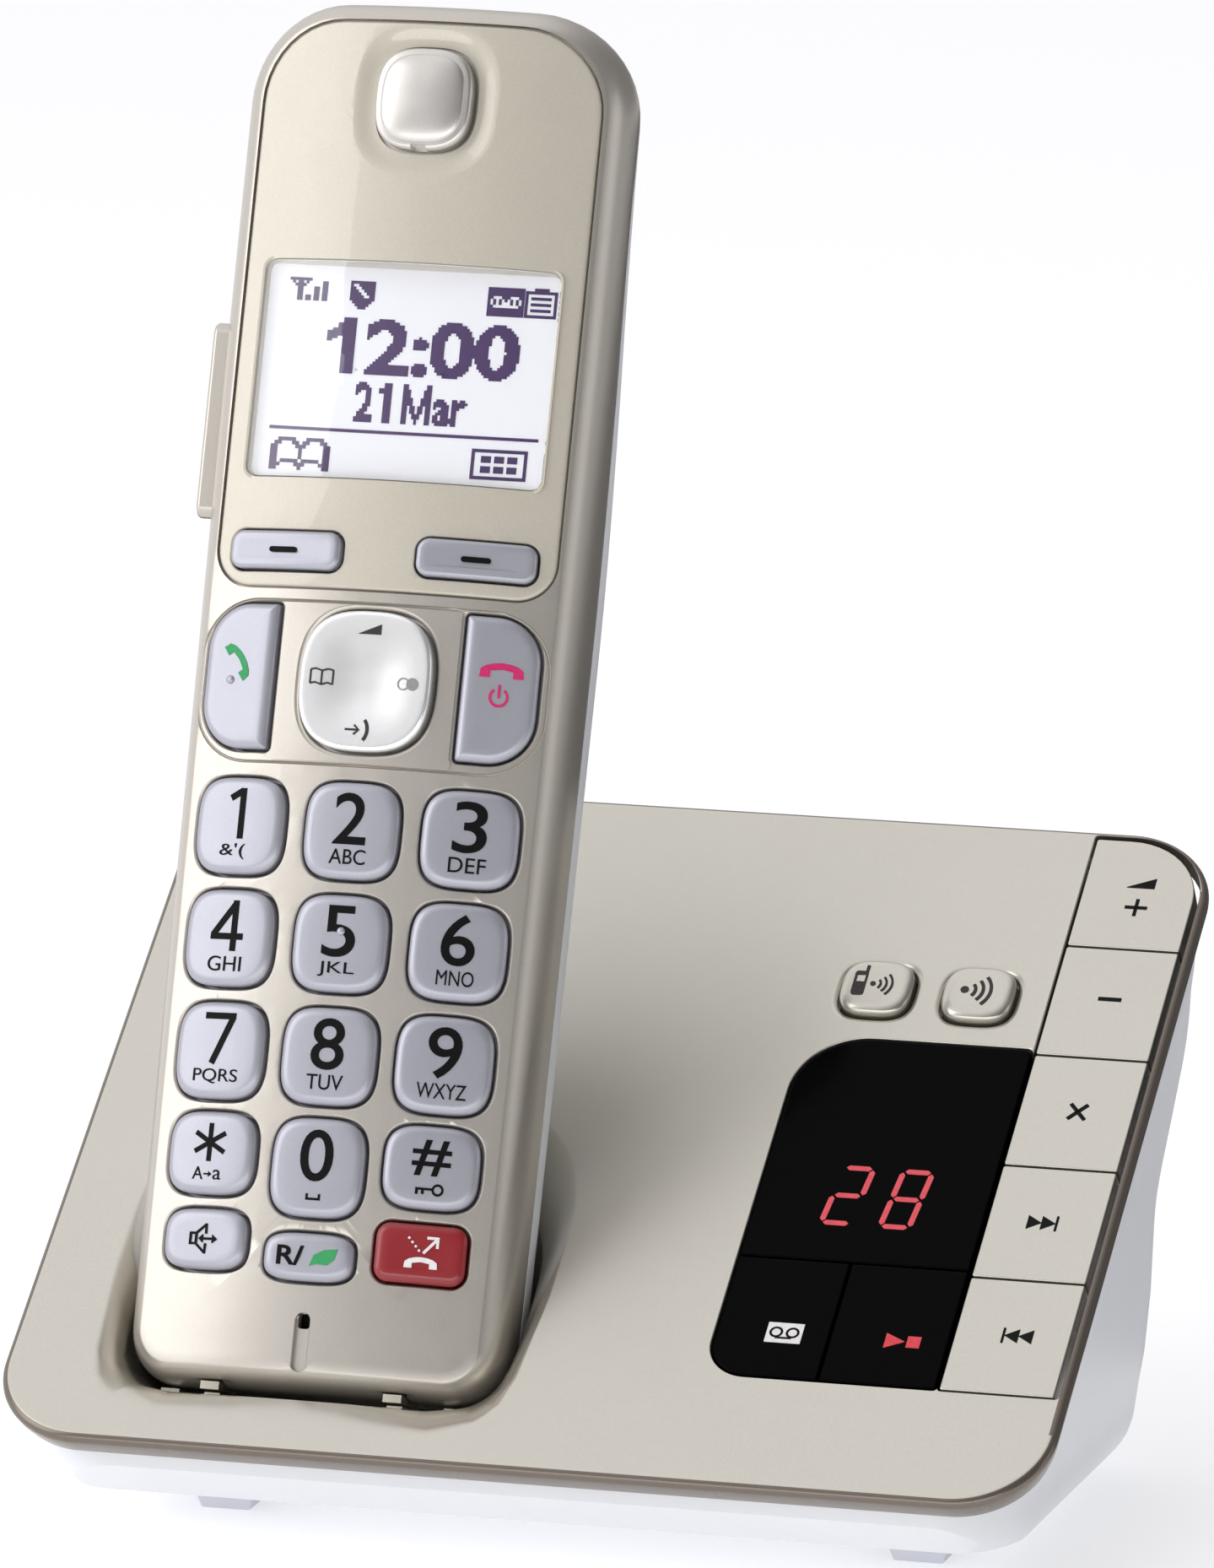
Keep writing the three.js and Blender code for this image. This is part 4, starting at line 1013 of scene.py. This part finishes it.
def overhang(z):
    for (z0, a), (z1, b) in zip(OVERHANG, OVERHANG[1:]):
        if z <= z1:
            return mix(a, b, (z - z0) / (z1 - z0))
    return OVERHANG[-1][1]


def housing_ring(z, inset):
    rise = z - HOUSING_FLOOR - inset
    t = 1 - min(1, rise / BULGE_RISE)
    bulge = BULGE * math.sqrt(1 - t * t) + max(0, rise - BULGE_RISE) * LEAN_OUT
    half = HOUSING_HALF + bulge - inset + SPREAD * smooth((rise - BULGE_RISE) / SPREAD_RISE)
    blur = [overhang(z + shift) for shift in (-2, -1, 0, 1, 2)]
    rear = HOUSING_REAR + sum(blur) / len(blur) - fall(rise, REAR_ROUND) - inset
    front = HOUSING_FRONT - bulge + inset
    rect = (-half, front - CENTRE, half, rear - CENTRE, HOUSING_CORNER - inset)
    return [(x, y, z) for x, y in rounded(rect, 14)(0)]


def housing_blank(inset):
    low = HOUSING_FLOOR + inset
    heights = [low + rise for rise in HOUSING_RISES] + HOUSING_HEIGHTS
    return loft([housing_ring(z, inset) for z in heights])


def under_panel(extra, top):
    levels = [(-100, 5 + extra), (-10, 2.2 + extra), (-7, 1.6 + extra), (top, 1.2 + extra)]
    to_table = Matrix.Translation(SLOPE.translation / MM) @ SLOPE.to_3x3().to_4x4()
    return moved(stack(rounded(PANEL, 20), levels), to_table)


def make_housing():
    top = -PANEL_BAND - GAP
    body = combined(under_panel(0, top), [housing_blank(0)], "INTERSECT")
    inside = combined(under_panel(HOUSING_WALL, 1 - PANEL_BAND), [housing_blank(HOUSING_WALL)], "INTERSECT")
    tools = [inside]
    for node in ("line_jack", "dc_inlet"):
        low, high = (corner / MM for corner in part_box(node))
        tools.append(block(low.x - GAP, high.x + GAP, low.y - 0.9, high.y + 0.9, low.z - GAP, high.z + GAP))
    low, high = (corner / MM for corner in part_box("base_loudspeaker"))
    middle = (low + high) / 2
    radius = (high.x - low.x) / 2
    for row in range(SOUND_ROWS):
        y = middle.y + (row - (SOUND_ROWS - 1) / 2) * SOUND_PITCH
        reach = math.sqrt(radius ** 2 - (y - middle.y) ** 2) - 3
        tools.append(stack(rounded(around(middle.x, y, 2 * reach, 1.6, 0.75), 5), [(2, 0), (9, 0)]))
    stand_in("base_bottom_housing", combined(body, tools), TABLE, "white", 28)


def make_feet():
    for name in ("front_left_foot", "front_right_foot", "rear_left_foot", "rear_right_foot"):
        low, high = (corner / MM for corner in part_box(name))
        rect = (low.x, low.y, high.x, high.y, 1.6)
        levels = [*arc(0, 0.5, 1.9, 1.4, 4, False), (high.z - 0.3, 0.1), (high.z, 0)]
        stand_in(name, stack(rounded(rect, 6), levels), TABLE, "rubber")


# ---------------------------------------------------------------- printing: letters, symbols, screen
PRINT_DEEP, PRINT_PROUD = 0.12, 0.09


def prism(loops, low, high):
    """A flat shape with holes, as a closed body between two heights."""
    flat = [Vector((x, y, 0)) for loop in loops for x, y in loop]
    triangles = tessellate_polygon([[Vector((x, y, 0)) for x, y in loop] for loop in loops])
    count = len(flat)
    vertices = [(v.x, v.y, low) for v in flat] + [(v.x, v.y, high) for v in flat]
    faces = []
    for a, b, c in triangles:
        up = (flat[b] - flat[a]).cross(flat[c] - flat[a]).z > 0
        a, b, c = (a, b, c) if up else (a, c, b)
        faces += [(a + count, b + count, c + count), (c, b, a)]
    start = 0
    for number, loop in enumerate(loops):
        area = sum(a[0] * b[1] - b[0] * a[1] for a, b in zip(loop, [*loop[1:], loop[0]]))
        outward = (area > 0) == (number == 0)
        for i in range(len(loop)):
            a, b = start + i, start + (i + 1) % len(loop)
            a, b = (a, b) if outward else (b, a)
            faces.append((a, b, b + count, a + count))
        start += len(loop)
    return shape_mesh(vertices, faces)


def circle(cx, cy, radius, steps=24, start=0.0, sweep_angle=2 * math.pi):
    """Points round a circle, or along a part of it if sweep_angle is less than a whole turn."""
    angles = [
        start + sweep_angle * i / steps
        for i in range(steps if sweep_angle >= 2 * math.pi else steps + 1)
    ]
    return [(cx + radius * math.cos(angle), cy + radius * math.sin(angle)) for angle in angles]


def stroke(path, width):
    """The outline of a line of that width along a path of points."""
    left, right = [], []
    for i, (x, y) in enumerate(path):
        ax, ay = path[max(i - 1, 0)]
        bx, by = path[min(i + 1, len(path) - 1)]
        length = math.hypot(bx - ax, by - ay)
        nx, ny = -(by - ay) / length * width / 2, (bx - ax) / length * width / 2
        left.append((x + nx, y + ny))
        right.append((x - nx, y - ny))
    return left + right[::-1]


def ring(cx, cy, radius, width, steps=24):
    return [circle(cx, cy, radius + width / 2, steps), circle(cx, cy, radius - width / 2, steps)]


def box(x0, y0, x1, y1):
    return [(x0, y0), (x1, y0), (x1, y1), (x0, y1)]


def bow(cx, cy, radius, width, start, end, steps=10):
    """An arc of a circle as a stroke; angles in degrees."""
    a, b = math.radians(start), math.radians(end)
    return stroke(circle(cx, cy, radius, steps, a, b - a), width)


def receiver(cx, cy, size, degrees):
    """A telephone receiver symbol that wide, its hollow side down at 0 degrees."""
    half = [(0.26, -0.02), (0.26, -0.17), (0.5, -0.17), (0.48, 0.02), (0.36, 0.1), (0.18, 0.15)]
    outline = [*half, (0, 0.165), *[(-x, y) for x, y in reversed(half)], (0, 0.02)]
    c, s = math.cos(math.radians(degrees)) * size, math.sin(math.radians(degrees)) * size
    return [(cx + x * c - y * s, cy + x * s + y * c) for x, y in outline]


def glyphs(text, cx, cy, height, width, weight=0.0):
    """The mesh of letters in the built-in typeface, scaled to that height and width and centred."""
    curve = bpy.data.curves.new("letters", "FONT")
    curve.body = text
    curve.offset = weight
    curve.extrude = 0.5
    curve.resolution_u = 6
    letters = bpy.data.objects.new("letters", curve)
    bpy.context.collection.objects.link(letters)
    graph = bpy.context.evaluated_depsgraph_get()
    mesh = bpy.data.meshes.new_from_object(letters.evaluated_get(graph))
    bpy.data.objects.remove(letters)
    xs = [v.co.x for v in mesh.vertices]
    ys = [v.co.y for v in mesh.vertices]
    tall = height / (max(ys) - min(ys))
    wide = width / (max(xs) - min(xs))
    for v in mesh.vertices:
        v.co.x = cx + (v.co.x - (max(xs) + min(xs)) / 2) * wide
        v.co.y = cy + (v.co.y - (max(ys) + min(ys)) / 2) * tall
    return mesh


def key_crown(x, y):
    """How far a key's face has fallen away at a point."""
    return crown(x)


def nav_dish(x, y):
    """How far the navigator's face has sunk at a point."""
    cx, cy, width, height, power = NAVIGATOR
    out = (abs((x - cx) / (width / 2)) ** power + abs((y - cy) / (height / 2)) ** power) ** (1 / power)
    sunk = min(1, max(0, ((1 - out) * width / 2 - NAV_RIM) / NAV_DISH_WIDTH))
    return -NAV_DISH * (1 - math.cos(math.pi * sunk)) / 2


def print_on(name, parts, place, node, finish, top, rise=None):
    """Prints shapes on a face at height top: letters as meshes, symbols as lists of loops."""
    low, high = top - PRINT_DEEP, top + PRINT_PROUD
    meshes = []
    for part in parts:
        if isinstance(part, bpy.types.Mesh):
            for v in part.vertices:
                v.co.z = high if v.co.z > 0 else low
            meshes.append(part)
        else:
            meshes.append(prism(part, low, high))
    mesh = joined(meshes)
    if rise:
        for v in mesh.vertices:
            v.co.z += rise(v.co.x, v.co.y)
    show(name, mesh, place, node, finish, 30)


def label(node, parts, finish, suffix="_legend"):
    """Prints shapes on a handset key, about its middle."""
    x, y, _ = HANDSET_KEYS[node]
    print_on(node + suffix, parts, key_place(x, y), node, finish, KEY_TOP, key_crown)


def lines(paths, width):
    return [[stroke(path, width)] for path in paths]


LETTERS = {2: "ABC", 3: "DEF", 4: "GHI", 5: "JKL", 6: "MNO", 7: "PQRS", 8: "TUV", 9: "WXYZ"}
# Digits drawn as strokes, about their own middles; the built-in typeface gives the rest.
DRAWN_DIGITS = {
    1: [[(-1.2, 1.9), (0.45, 2.9)], [(0.5, 3.2), (0.5, -3.2)]],
    4: [[(0.95, 3.2), (0.95, -3.2)], [(1.05, 2.95), (-1.95, -1.15)], [(-2.3, -1.35), (2.25, -1.35)]],
    7: [[(-2.1, 2.8), (2.2, 2.8)], [(1.8, 2.6), (-0.7, -3.2)]],
}
DIGIT_LINE = 0.82


def symbol_speaker(cx, cy):
    return [
        [box(cx - 1.9, cy - 0.8, cx - 0.8, cy + 0.8), box(cx - 1.6, cy - 0.5, cx - 1.1, cy + 0.5)],
        *lines([[(cx - 0.9, cy + s * 0.7), (cx + 0.4, cy + s * 1.8)] for s in (1, -1)], 0.3),
        *lines([[(cx + 0.4, cy + s * 1.9), (cx + 0.4, cy + s * 0.6)] for s in (1, -1)], 0.3),
        [stroke([(cx - 0.3, cy), (cx + 1.5, cy)], 0.3)],
        [[(cx - 0.6, cy), (cx, cy - 0.55), (cx, cy + 0.55)]],
        [[(cx + 2, cy), (cx + 1.3, cy + 0.55), (cx + 1.3, cy - 0.55)]],
    ]


def symbol_book(cx, cy, size):
    outline = [
        (-1, 0.62), (-0.55, 0.72), (0, 0.55), (0.55, 0.72), (1, 0.62),
        (1, -0.6), (0.55, -0.48), (0, -0.66), (-0.55, -0.48), (-1, -0.6), (-1, 0.62),
    ]
    sides = [*zip(outline, outline[1:]), ((0, 0.5), (0, -0.66))]
    return lines([[(cx + x * size, cy + y * size) for x, y in side] for side in sides], 0.22)


def symbol_waves(cx, cy, radii, width, dot):
    return [[circle(cx, cy, dot)]] + [[bow(cx, cy, r, width, -42, 42)] for r in radii]


def symbol_key(cx, cy):
    return [
        ring(cx + 1.1, cy, 0.62, 0.3),
        [stroke([(cx - 1.7, cy + 0.05), (cx + 0.4, cy + 0.05)], 0.3)],
        [box(cx - 1.7, cy - 0.65, cx - 1.35, cy)],
        [box(cx - 0.95, cy - 0.6, cx - 0.6, cy)],
    ]


def print_handset_keys():
    for number in range(10):
        if number in DRAWN_DIGITS:
            raised = [[(px, py + 1.5) for px, py in path] for path in DRAWN_DIGITS[number]]
            parts = lines(raised, DIGIT_LINE)
        else:
            parts = [glyphs(str(number), 0, 1.5, 6.5, 4.3, 0.008)]
        if number in LETTERS:
            text = LETTERS[number]
            parts.append(glyphs(text, 0, -3.3, 1.9, 1.52 * len(text) + 0.15))
        if number == 1:
            parts.append(glyphs("&'(", -0.4, -3.3, 2, 3.6))
        if number == 0:
            parts += [[box(-0.95, -4.1, 0.95, -3.8)]]
            parts += [[box(x, -4.1, x + 0.3, -3.3)] for x in (-0.95, 0.65)]
        label(f"key_{number}", parts, "black_ink")
    rays = [(2.4 * math.cos(a), 2.4 * math.sin(a)) for a in (math.radians(d) for d in (90, 30, -30))]
    star = lines([[(-x, 1.3 - y), (x, 1.3 + y)] for x, y in rays], 0.62)
    star.append(glyphs("A", -1.35, -2.6, 1.6, 1.5))
    star.append(glyphs("a", 1.35, -2.75, 1.25, 1.1))
    star.append([stroke([(-0.5, -2.7), (0.3, -2.7)], 0.2)])
    star.append([[(0.65, -2.7), (0.15, -2.35), (0.15, -3.05)]])
    label("key_star", star, "black_ink")
    label("key_hash", [glyphs("#", 0, 1.2, 4.5, 4.9, 0.012), *symbol_key(0, -2.75)], "black_ink")
    label("speakerphone_key", symbol_speaker(0, 0), "black_ink")
    label("recall_key", [glyphs("R/", -2.2, 0.1, 2.5, 3.5, 0.02)], "black_ink")
    leaf = [(0.4, -1.1), (0.9, 0.3), (2.2, 1.0), (3.9, 1.2), (3.6, -0.1), (2.7, -0.9), (1.2, -0.8)]
    label("recall_key", [[leaf]], "green_ink", "_leaf")
    block_symbol = [
        [receiver(0.2, -1.1, 4.2, 0)],
        [stroke([(0.4, 0.1), (2, 1.9)], 0.36)],
        *lines([[(0.75, 2.05), (2.15, 2.05)], [(2.1, 2.2), (2.1, 0.8)]], 0.34),
        *[[circle(-1.5 + 0.45 * i, 1.9 - 0.5 * i, 0.17, 8)] for i in range(4)],
    ]
    label("call_block_key", block_symbol, "white_ink")
    label("talk_key", [[receiver(0.1, 1.9, 5.2, -54)]], "green_ink")
    power = [
        [receiver(0.1, 2.5, 5.6, 0)],
        [bow(0, -0.9, 1.1, 0.34, -235, 55, 20)],
        [stroke([(0, -1), (0, 0.7)], 0.34)],
    ]
    label("off_key", power, "magenta_ink")
    for name in ("soft_key_left", "soft_key_right"):
        label(name, [[rounded((-1.9, -0.35, 1.9, 0.35, 0.33), 4)(0)]], "black_ink")
    x, y, *_ = NAVIGATOR
    wedge = [[(x - 1.4, y + 5.9), (x + 1.6, y + 5.9), (x + 1.6, y + 7.2)]]
    arrow = [
        [(x - 1.9, y - 6.2), (x - 0.1, y - 6.2)],
        [(x - 0.75, y - 5.6), (x - 0.1, y - 6.2), (x - 0.75, y - 6.8)],
    ]
    handle = [
        *lines(arrow, 0.26),
        [bow(x - 1.1, y - 6.2, 2.1, 0.42, -38, 38)],
    ]
    print_on("navigator_key_legend", [wedge, *handle, *symbol_book(x - 5.6, y + 0.2, 1.45)], HANDSET,
             "navigator_key", "grey_ink", NAV_TOP + 0.02, nav_dish)
    rings = [ring(x + 5.1, y - 0.1, 0.72, 0.17), [circle(x + 6.3, y - 0.1, 0.8)]]
    print_on("navigator_key_rings", rings, HANDSET, "navigator_key", "pale_ink", NAV_TOP + 0.02, nav_dish)
    levels = [(KEY_TOP - 0.2, 0), *arc(KEY_TOP, KEY_TOP + 0.3, 0, 0.5, 4)]
    for name, dx, dy in (("talk_key", -0.9, -0.6), ("key_5", 0.2, 1.5)):
        x, y, _ = HANDSET_KEYS[name]
        dot = stack(pillow(dx, dy, 1.1, 1.1, 2, 20), levels)
        show(name + "_dot", dot, key_place(x, y), name, "keycap", 60)


def print_base():
    middle = (KEYS_X0 + KEYS_X1) / 2
    centres = {name: KEYS_LOW + (i + 0.5) * COLUMN_PITCH for i, name in enumerate(COLUMN)}
    y = centres["volume_up_key"]
    up = [
        [[(middle - 1.9, y + 1), (middle + 1.7, y + 1), (middle + 1.7, y + 2.7)]],
        [box(middle - 1.45, y - 2.6, middle + 1.45, y - 2.15)],
        [box(middle - 0.22, y - 3.8, middle + 0.22, y - 0.95)],
    ]
    y = centres["volume_down_key"]
    down = [[box(middle - 1.5, y + 0.2, middle + 1.5, y + 0.75)]]
    y = centres["erase_key"]
    erase = lines([[(middle - 1.1, y + s * 1.25), (middle + 1.1, y - s * 1.25)] for s in (-1, 1)], 0.5)

    def skip(side, y):
        arrows = [
            [[(middle + side * a, y + 1.1), (middle + side * a, y - 1.1), (middle + side * (a + 1.8), y)]]
            for a in (-2.4, -0.6)
        ]
        x0, x1 = sorted((middle + side * 1.2, middle + side * 1.5))
        return [*arrows, [box(x0, y - 1.2, x1, y + 1.2)]]

    symbols = {
        "volume_up_key": up,
        "volume_down_key": down,
        "erase_key": erase,
        "skip_forward_key": skip(1, centres["skip_forward_key"]),
        "skip_back_key": skip(-1, centres["skip_back_key"]),
    }
    for name, parts in symbols.items():
        print_on(name + "_legend", parts, SLOPE, name, "black_ink", 0)
    x, y, *_ = INTERCOM
    handy = [
        [rounded((x - 3, y - 2, x - 1.3, y + 2, 0.4), 3)(0), box(x - 2.7, y + 0.2, x - 1.6, y + 1.4)],
        [box(x - 1.75, y + 1.9, x - 1.35, y + 3)],
        *symbol_waves(x - 0.4, y, (1.0, 1.75, 2.5), 0.32, 0.36),
    ]
    print_on("intercom_key_legend", handy, SLOPE, "intercom_key", "grey_ink", RAISED_TOP)
    x, y, *_ = LOCATOR
    waves = symbol_waves(x - 1.7, y, (1.4, 2.4, 3.4), 0.45, 0.55)
    print_on("locator_key_legend", waves, SLOPE, "locator_key", "grey_ink", RAISED_TOP)
    x, y = ANSWER_MARK
    tape = [[box(x - 2.3, y - 1.6, x + 2.3, y + 1.6)]]
    print_on("answer_key_legend", tape, SLOPE, "answer_key", "white_ink", 0)
    reels = [ring(x - 1.05, y + 0.05, 0.72, 0.32), ring(x + 1.05, y + 0.05, 0.72, 0.32)]
    print_on("answer_key_reels", [*reels, [box(x - 1.05, y - 1, x + 1.05, y - 0.68)]], SLOPE, "answer_key",
             "black_ink", 0.02)
    x, y = PLAY_MARK
    play = [
        [[(x - 2.3, y + 1.2), (x - 2.3, y - 1.2), (x + 0.2, y)]],
        [box(x + 0.5, y - 0.9, x + 2.2, y + 0.9)],
    ]
    # The play symbol's red print glows: painted light.
    print_on("play_stop_key_legend", play, SLOPE, "play_stop_key", "red_ink_painted_glow", 0)


# The red digits: half width and height, line width, lean, and what is left open at the segments' ends.
DIGIT_HALF, DIGIT_TALL, DIGIT_THICK, DIGIT_SLANT, DIGIT_GAP = 1.85, 4.6, 0.72, 0.11, 0.22
DIGIT_Y = 48.3
# Segments: name -> their ends, as shares of the half width and height.
SEGMENTS = {
    "top": (-1, 1, 1, 1),
    "middle": (-1, 0, 1, 0),
    "bottom": (-1, -1, 1, -1),
    "upper_left": (-1, 0, -1, 1),
    "upper_right": (1, 0, 1, 1),
    "lower_left": (-1, -1, -1, 0),
    "lower_right": (1, -1, 1, 0),
}
TWO = ["top", "upper_right", "middle", "lower_left", "bottom"]
EIGHT = list(SEGMENTS)


def segment(cx, ax, ay, bx, by):
    """One lit segment of the digit at cx, pointed at both ends."""
    (x0, y0), (x1, y1) = [
        (cx + x * DIGIT_HALF + DIGIT_SLANT * y * DIGIT_TALL, DIGIT_Y + y * DIGIT_TALL)
        for x, y in ((ax, ay), (bx, by))
    ]
    length = math.hypot(x1 - x0, y1 - y0)
    ux, uy = (x1 - x0) / length, (y1 - y0) / length
    start, end = (x0 + ux * DIGIT_GAP, y0 + uy * DIGIT_GAP), (x1 - ux * DIGIT_GAP, y1 - uy * DIGIT_GAP)
    h = DIGIT_THICK / 2

    def off(point, along, aside):
        return point[0] + (along * ux - aside * uy) * h, point[1] + (along * uy + aside * ux) * h

    return [start, off(start, 1, 1), off(end, -1, 1), end, off(end, -1, -1), off(start, 1, -1)]


def print_readout():
    """Two seven-segment digits behind the lens, leaning a little."""
    parts = [[segment(cx, *SEGMENTS[side])] for cx, lit in ((33, TWO), (40.6, EIGHT)) for side in lit]
    print_on("led_digits", parts, SLOPE, "led_display", "glow_red", 0)


# The screen's small pictures, a row of dots a line.
ICONS = {
    "capital_m": ["##.......##"] * 2 + ["###.....###"] * 3 + ["####...####"] * 3 + ["##.##.##.##"] * 3
    + ["##..###..##"] * 2 + ["##...#...##"] * 2,
    "big_one": [".......#####"] * 2 + [".....#######"] * 2 + ["...#########"] + [".###########"] * 2
    + [".####..#####", ".##....#####"] + [".......#####"] * 12,
    "small_one": ["...###"] * 2 + [".#####"] * 2 + ["...###"] * 11,
    "signal": ["########......", ".#.##.#.....##", "..####......##"] + ["...##....##.##"] * 3
    + ["...##.##.##.##"] * 2,
    "shield": ["#########", "#..######", "##..#####", "###..####", "####..###", "#####..##", "#########"]
    + [".#######.", "..#####..", "...###..."],
    "tape": ["#############"] * 3 + ["##...###...##", "#.#.#.#.#.#.#", "#.#.#...#.#.#", "##.........##"]
    + ["#############"] * 3,
    "battery": ["...#####...", "###########"] + ["#.........#", "#.#######.#"] * 3
    + ["#.........#", "###########"],
    "book": ["..#####...#####..", ".##...##.##...##.", "##.....###.....##"] + ["##......#......##"] * 3
    + ["##.#####.#####.##", "###....###....###", "##......#......##"],
    "keypad": ["#################"] + ["#...............#", "#..###.###.###..#", "#..###.###.###..#"] * 2
    + ["#...............#", "#################"],
}
DOT = 0.34


def dots(cells, left, top, dot):
    """Dots (column, row) as square bodies, merged along each row."""
    runs = []
    for row in sorted({r for _, r in cells}):
        columns = sorted(c for c, r in cells if r == row)
        start = previous = columns[0]
        for column in columns[1:] + [None]:
            if column is not None and column == previous + 1:
                previous = column
                continue
            x0, x1 = left + start * dot, left + (previous + 1) * dot
            runs.append([box(x0, top - (row + 1) * dot, x1, top - row * dot)])
            start = previous = column
    return runs


def picture(rows, left, top, dot):
    cells = [(c, r) for r, line in enumerate(rows) for c, mark in enumerate(line) if mark == "#"]
    return dots(cells, left, top, dot)


def inside(spot, corners):
    sides = [(b - a).cross(spot - a) for a, b in zip(corners, [*corners[1:], corners[0]])]
    return all(s >= 0 for s in sides) or all(s <= 0 for s in sides)


def dotted_text(text, left, top, columns, rows, weight):
    """Text as a screen of dots shows it: each dot whose middle lies in a letter is on."""
    mesh = glyphs(text, left + columns * DOT / 2, top - rows * DOT / 2, rows * DOT, columns * DOT, weight)
    high = max(v.co.z for v in mesh.vertices)
    faces = [
        [mesh.vertices[i].co.xy for i in polygon.vertices]
        for polygon in mesh.polygons
        if polygon.normal.z > 0.9 and mesh.vertices[polygon.vertices[0]].co.z > high - 0.01
    ]
    cells = []
    for row in range(rows):
        for column in range(columns):
            spot = Vector((left + (column + 0.5) * DOT, top - (row + 0.5) * DOT))
            if any(inside(spot, face) for face in faces):
                cells.append((column, row))
    return dots(cells, left, top, DOT)


def print_screen():
    """What the screen shows; every place is measured right and down from its upper left corner."""
    x, y, width, height = SCREEN
    left, top = x - width / 2, y + height / 2
    parts = []
    for icon, right, down, dot in [
        ("signal", 3, 2, 0.36),
        ("shield", 11, 2.1, 0.36),
        ("tape", 29, 2, 0.37),
        ("battery", 33.9, 1.9, 0.38),
        ("big_one", 8.2, 6.8, DOT),
        ("small_one", 15.7, 14.9, DOT),
        ("capital_m", 19.2, 14.9, DOT),
        ("book", 2.6, 22.4, 0.46),
        ("keypad", 28.9, 22.6, 0.43),
    ]:
        parts += picture(ICONS[icon], left + right, top - down, dot)
    for text, right, down, columns, rows, weight in [
        ("2:00", 13.8, 6.8, 59, 21, 0.03),
        ("2", 13, 14.9, 7, 15, 0.03),
        ("ar", 23.3, 16.6, 13, 10, 0.028),
    ]:
        parts += dotted_text(text, left + right, top - down, columns, rows, weight)
    parts.append([box(left + 2.2, top - 21.4, left + 37.4, top - 21)])
    print_on("screen_content", parts, HANDSET, "lcd_module", "lcd_ink", -4)


# ---------------------------------------------------------------- CAD nodes that stay as they are
KEPT = {
    "black": ["led_display", "receiver_speaker", "ringer_loudspeaker", "handset_microphone",
              "base_loudspeaker", "line_jack", "dc_inlet"],
    "board": ["handset_circuit_board", "base_circuit_board"],
    "dome": ["keypad_dome_sheet"],
    "cell": ["battery_cell_left", "battery_cell_right"],
    "contact": ["battery_contact_bridge", "charge_contact_left", "charge_contact_right",
                "cradle_contact_left", "cradle_contact_right"],
}

make_camera()
make_studio()
for finish_name, node_names in KEPT.items():
    for node_name in node_names:
        slots = frame["nodes"][node_name].data.materials
        slots.clear()
        slots.append(FINISHES[finish_name])
make_front_shell()
make_rear_shell()
make_window()
make_screen()
make_handset_keys()
make_panel()
make_base_keys()
make_housing()
make_feet()
print_handset_keys()
print_base()
print_readout()
print_screen()
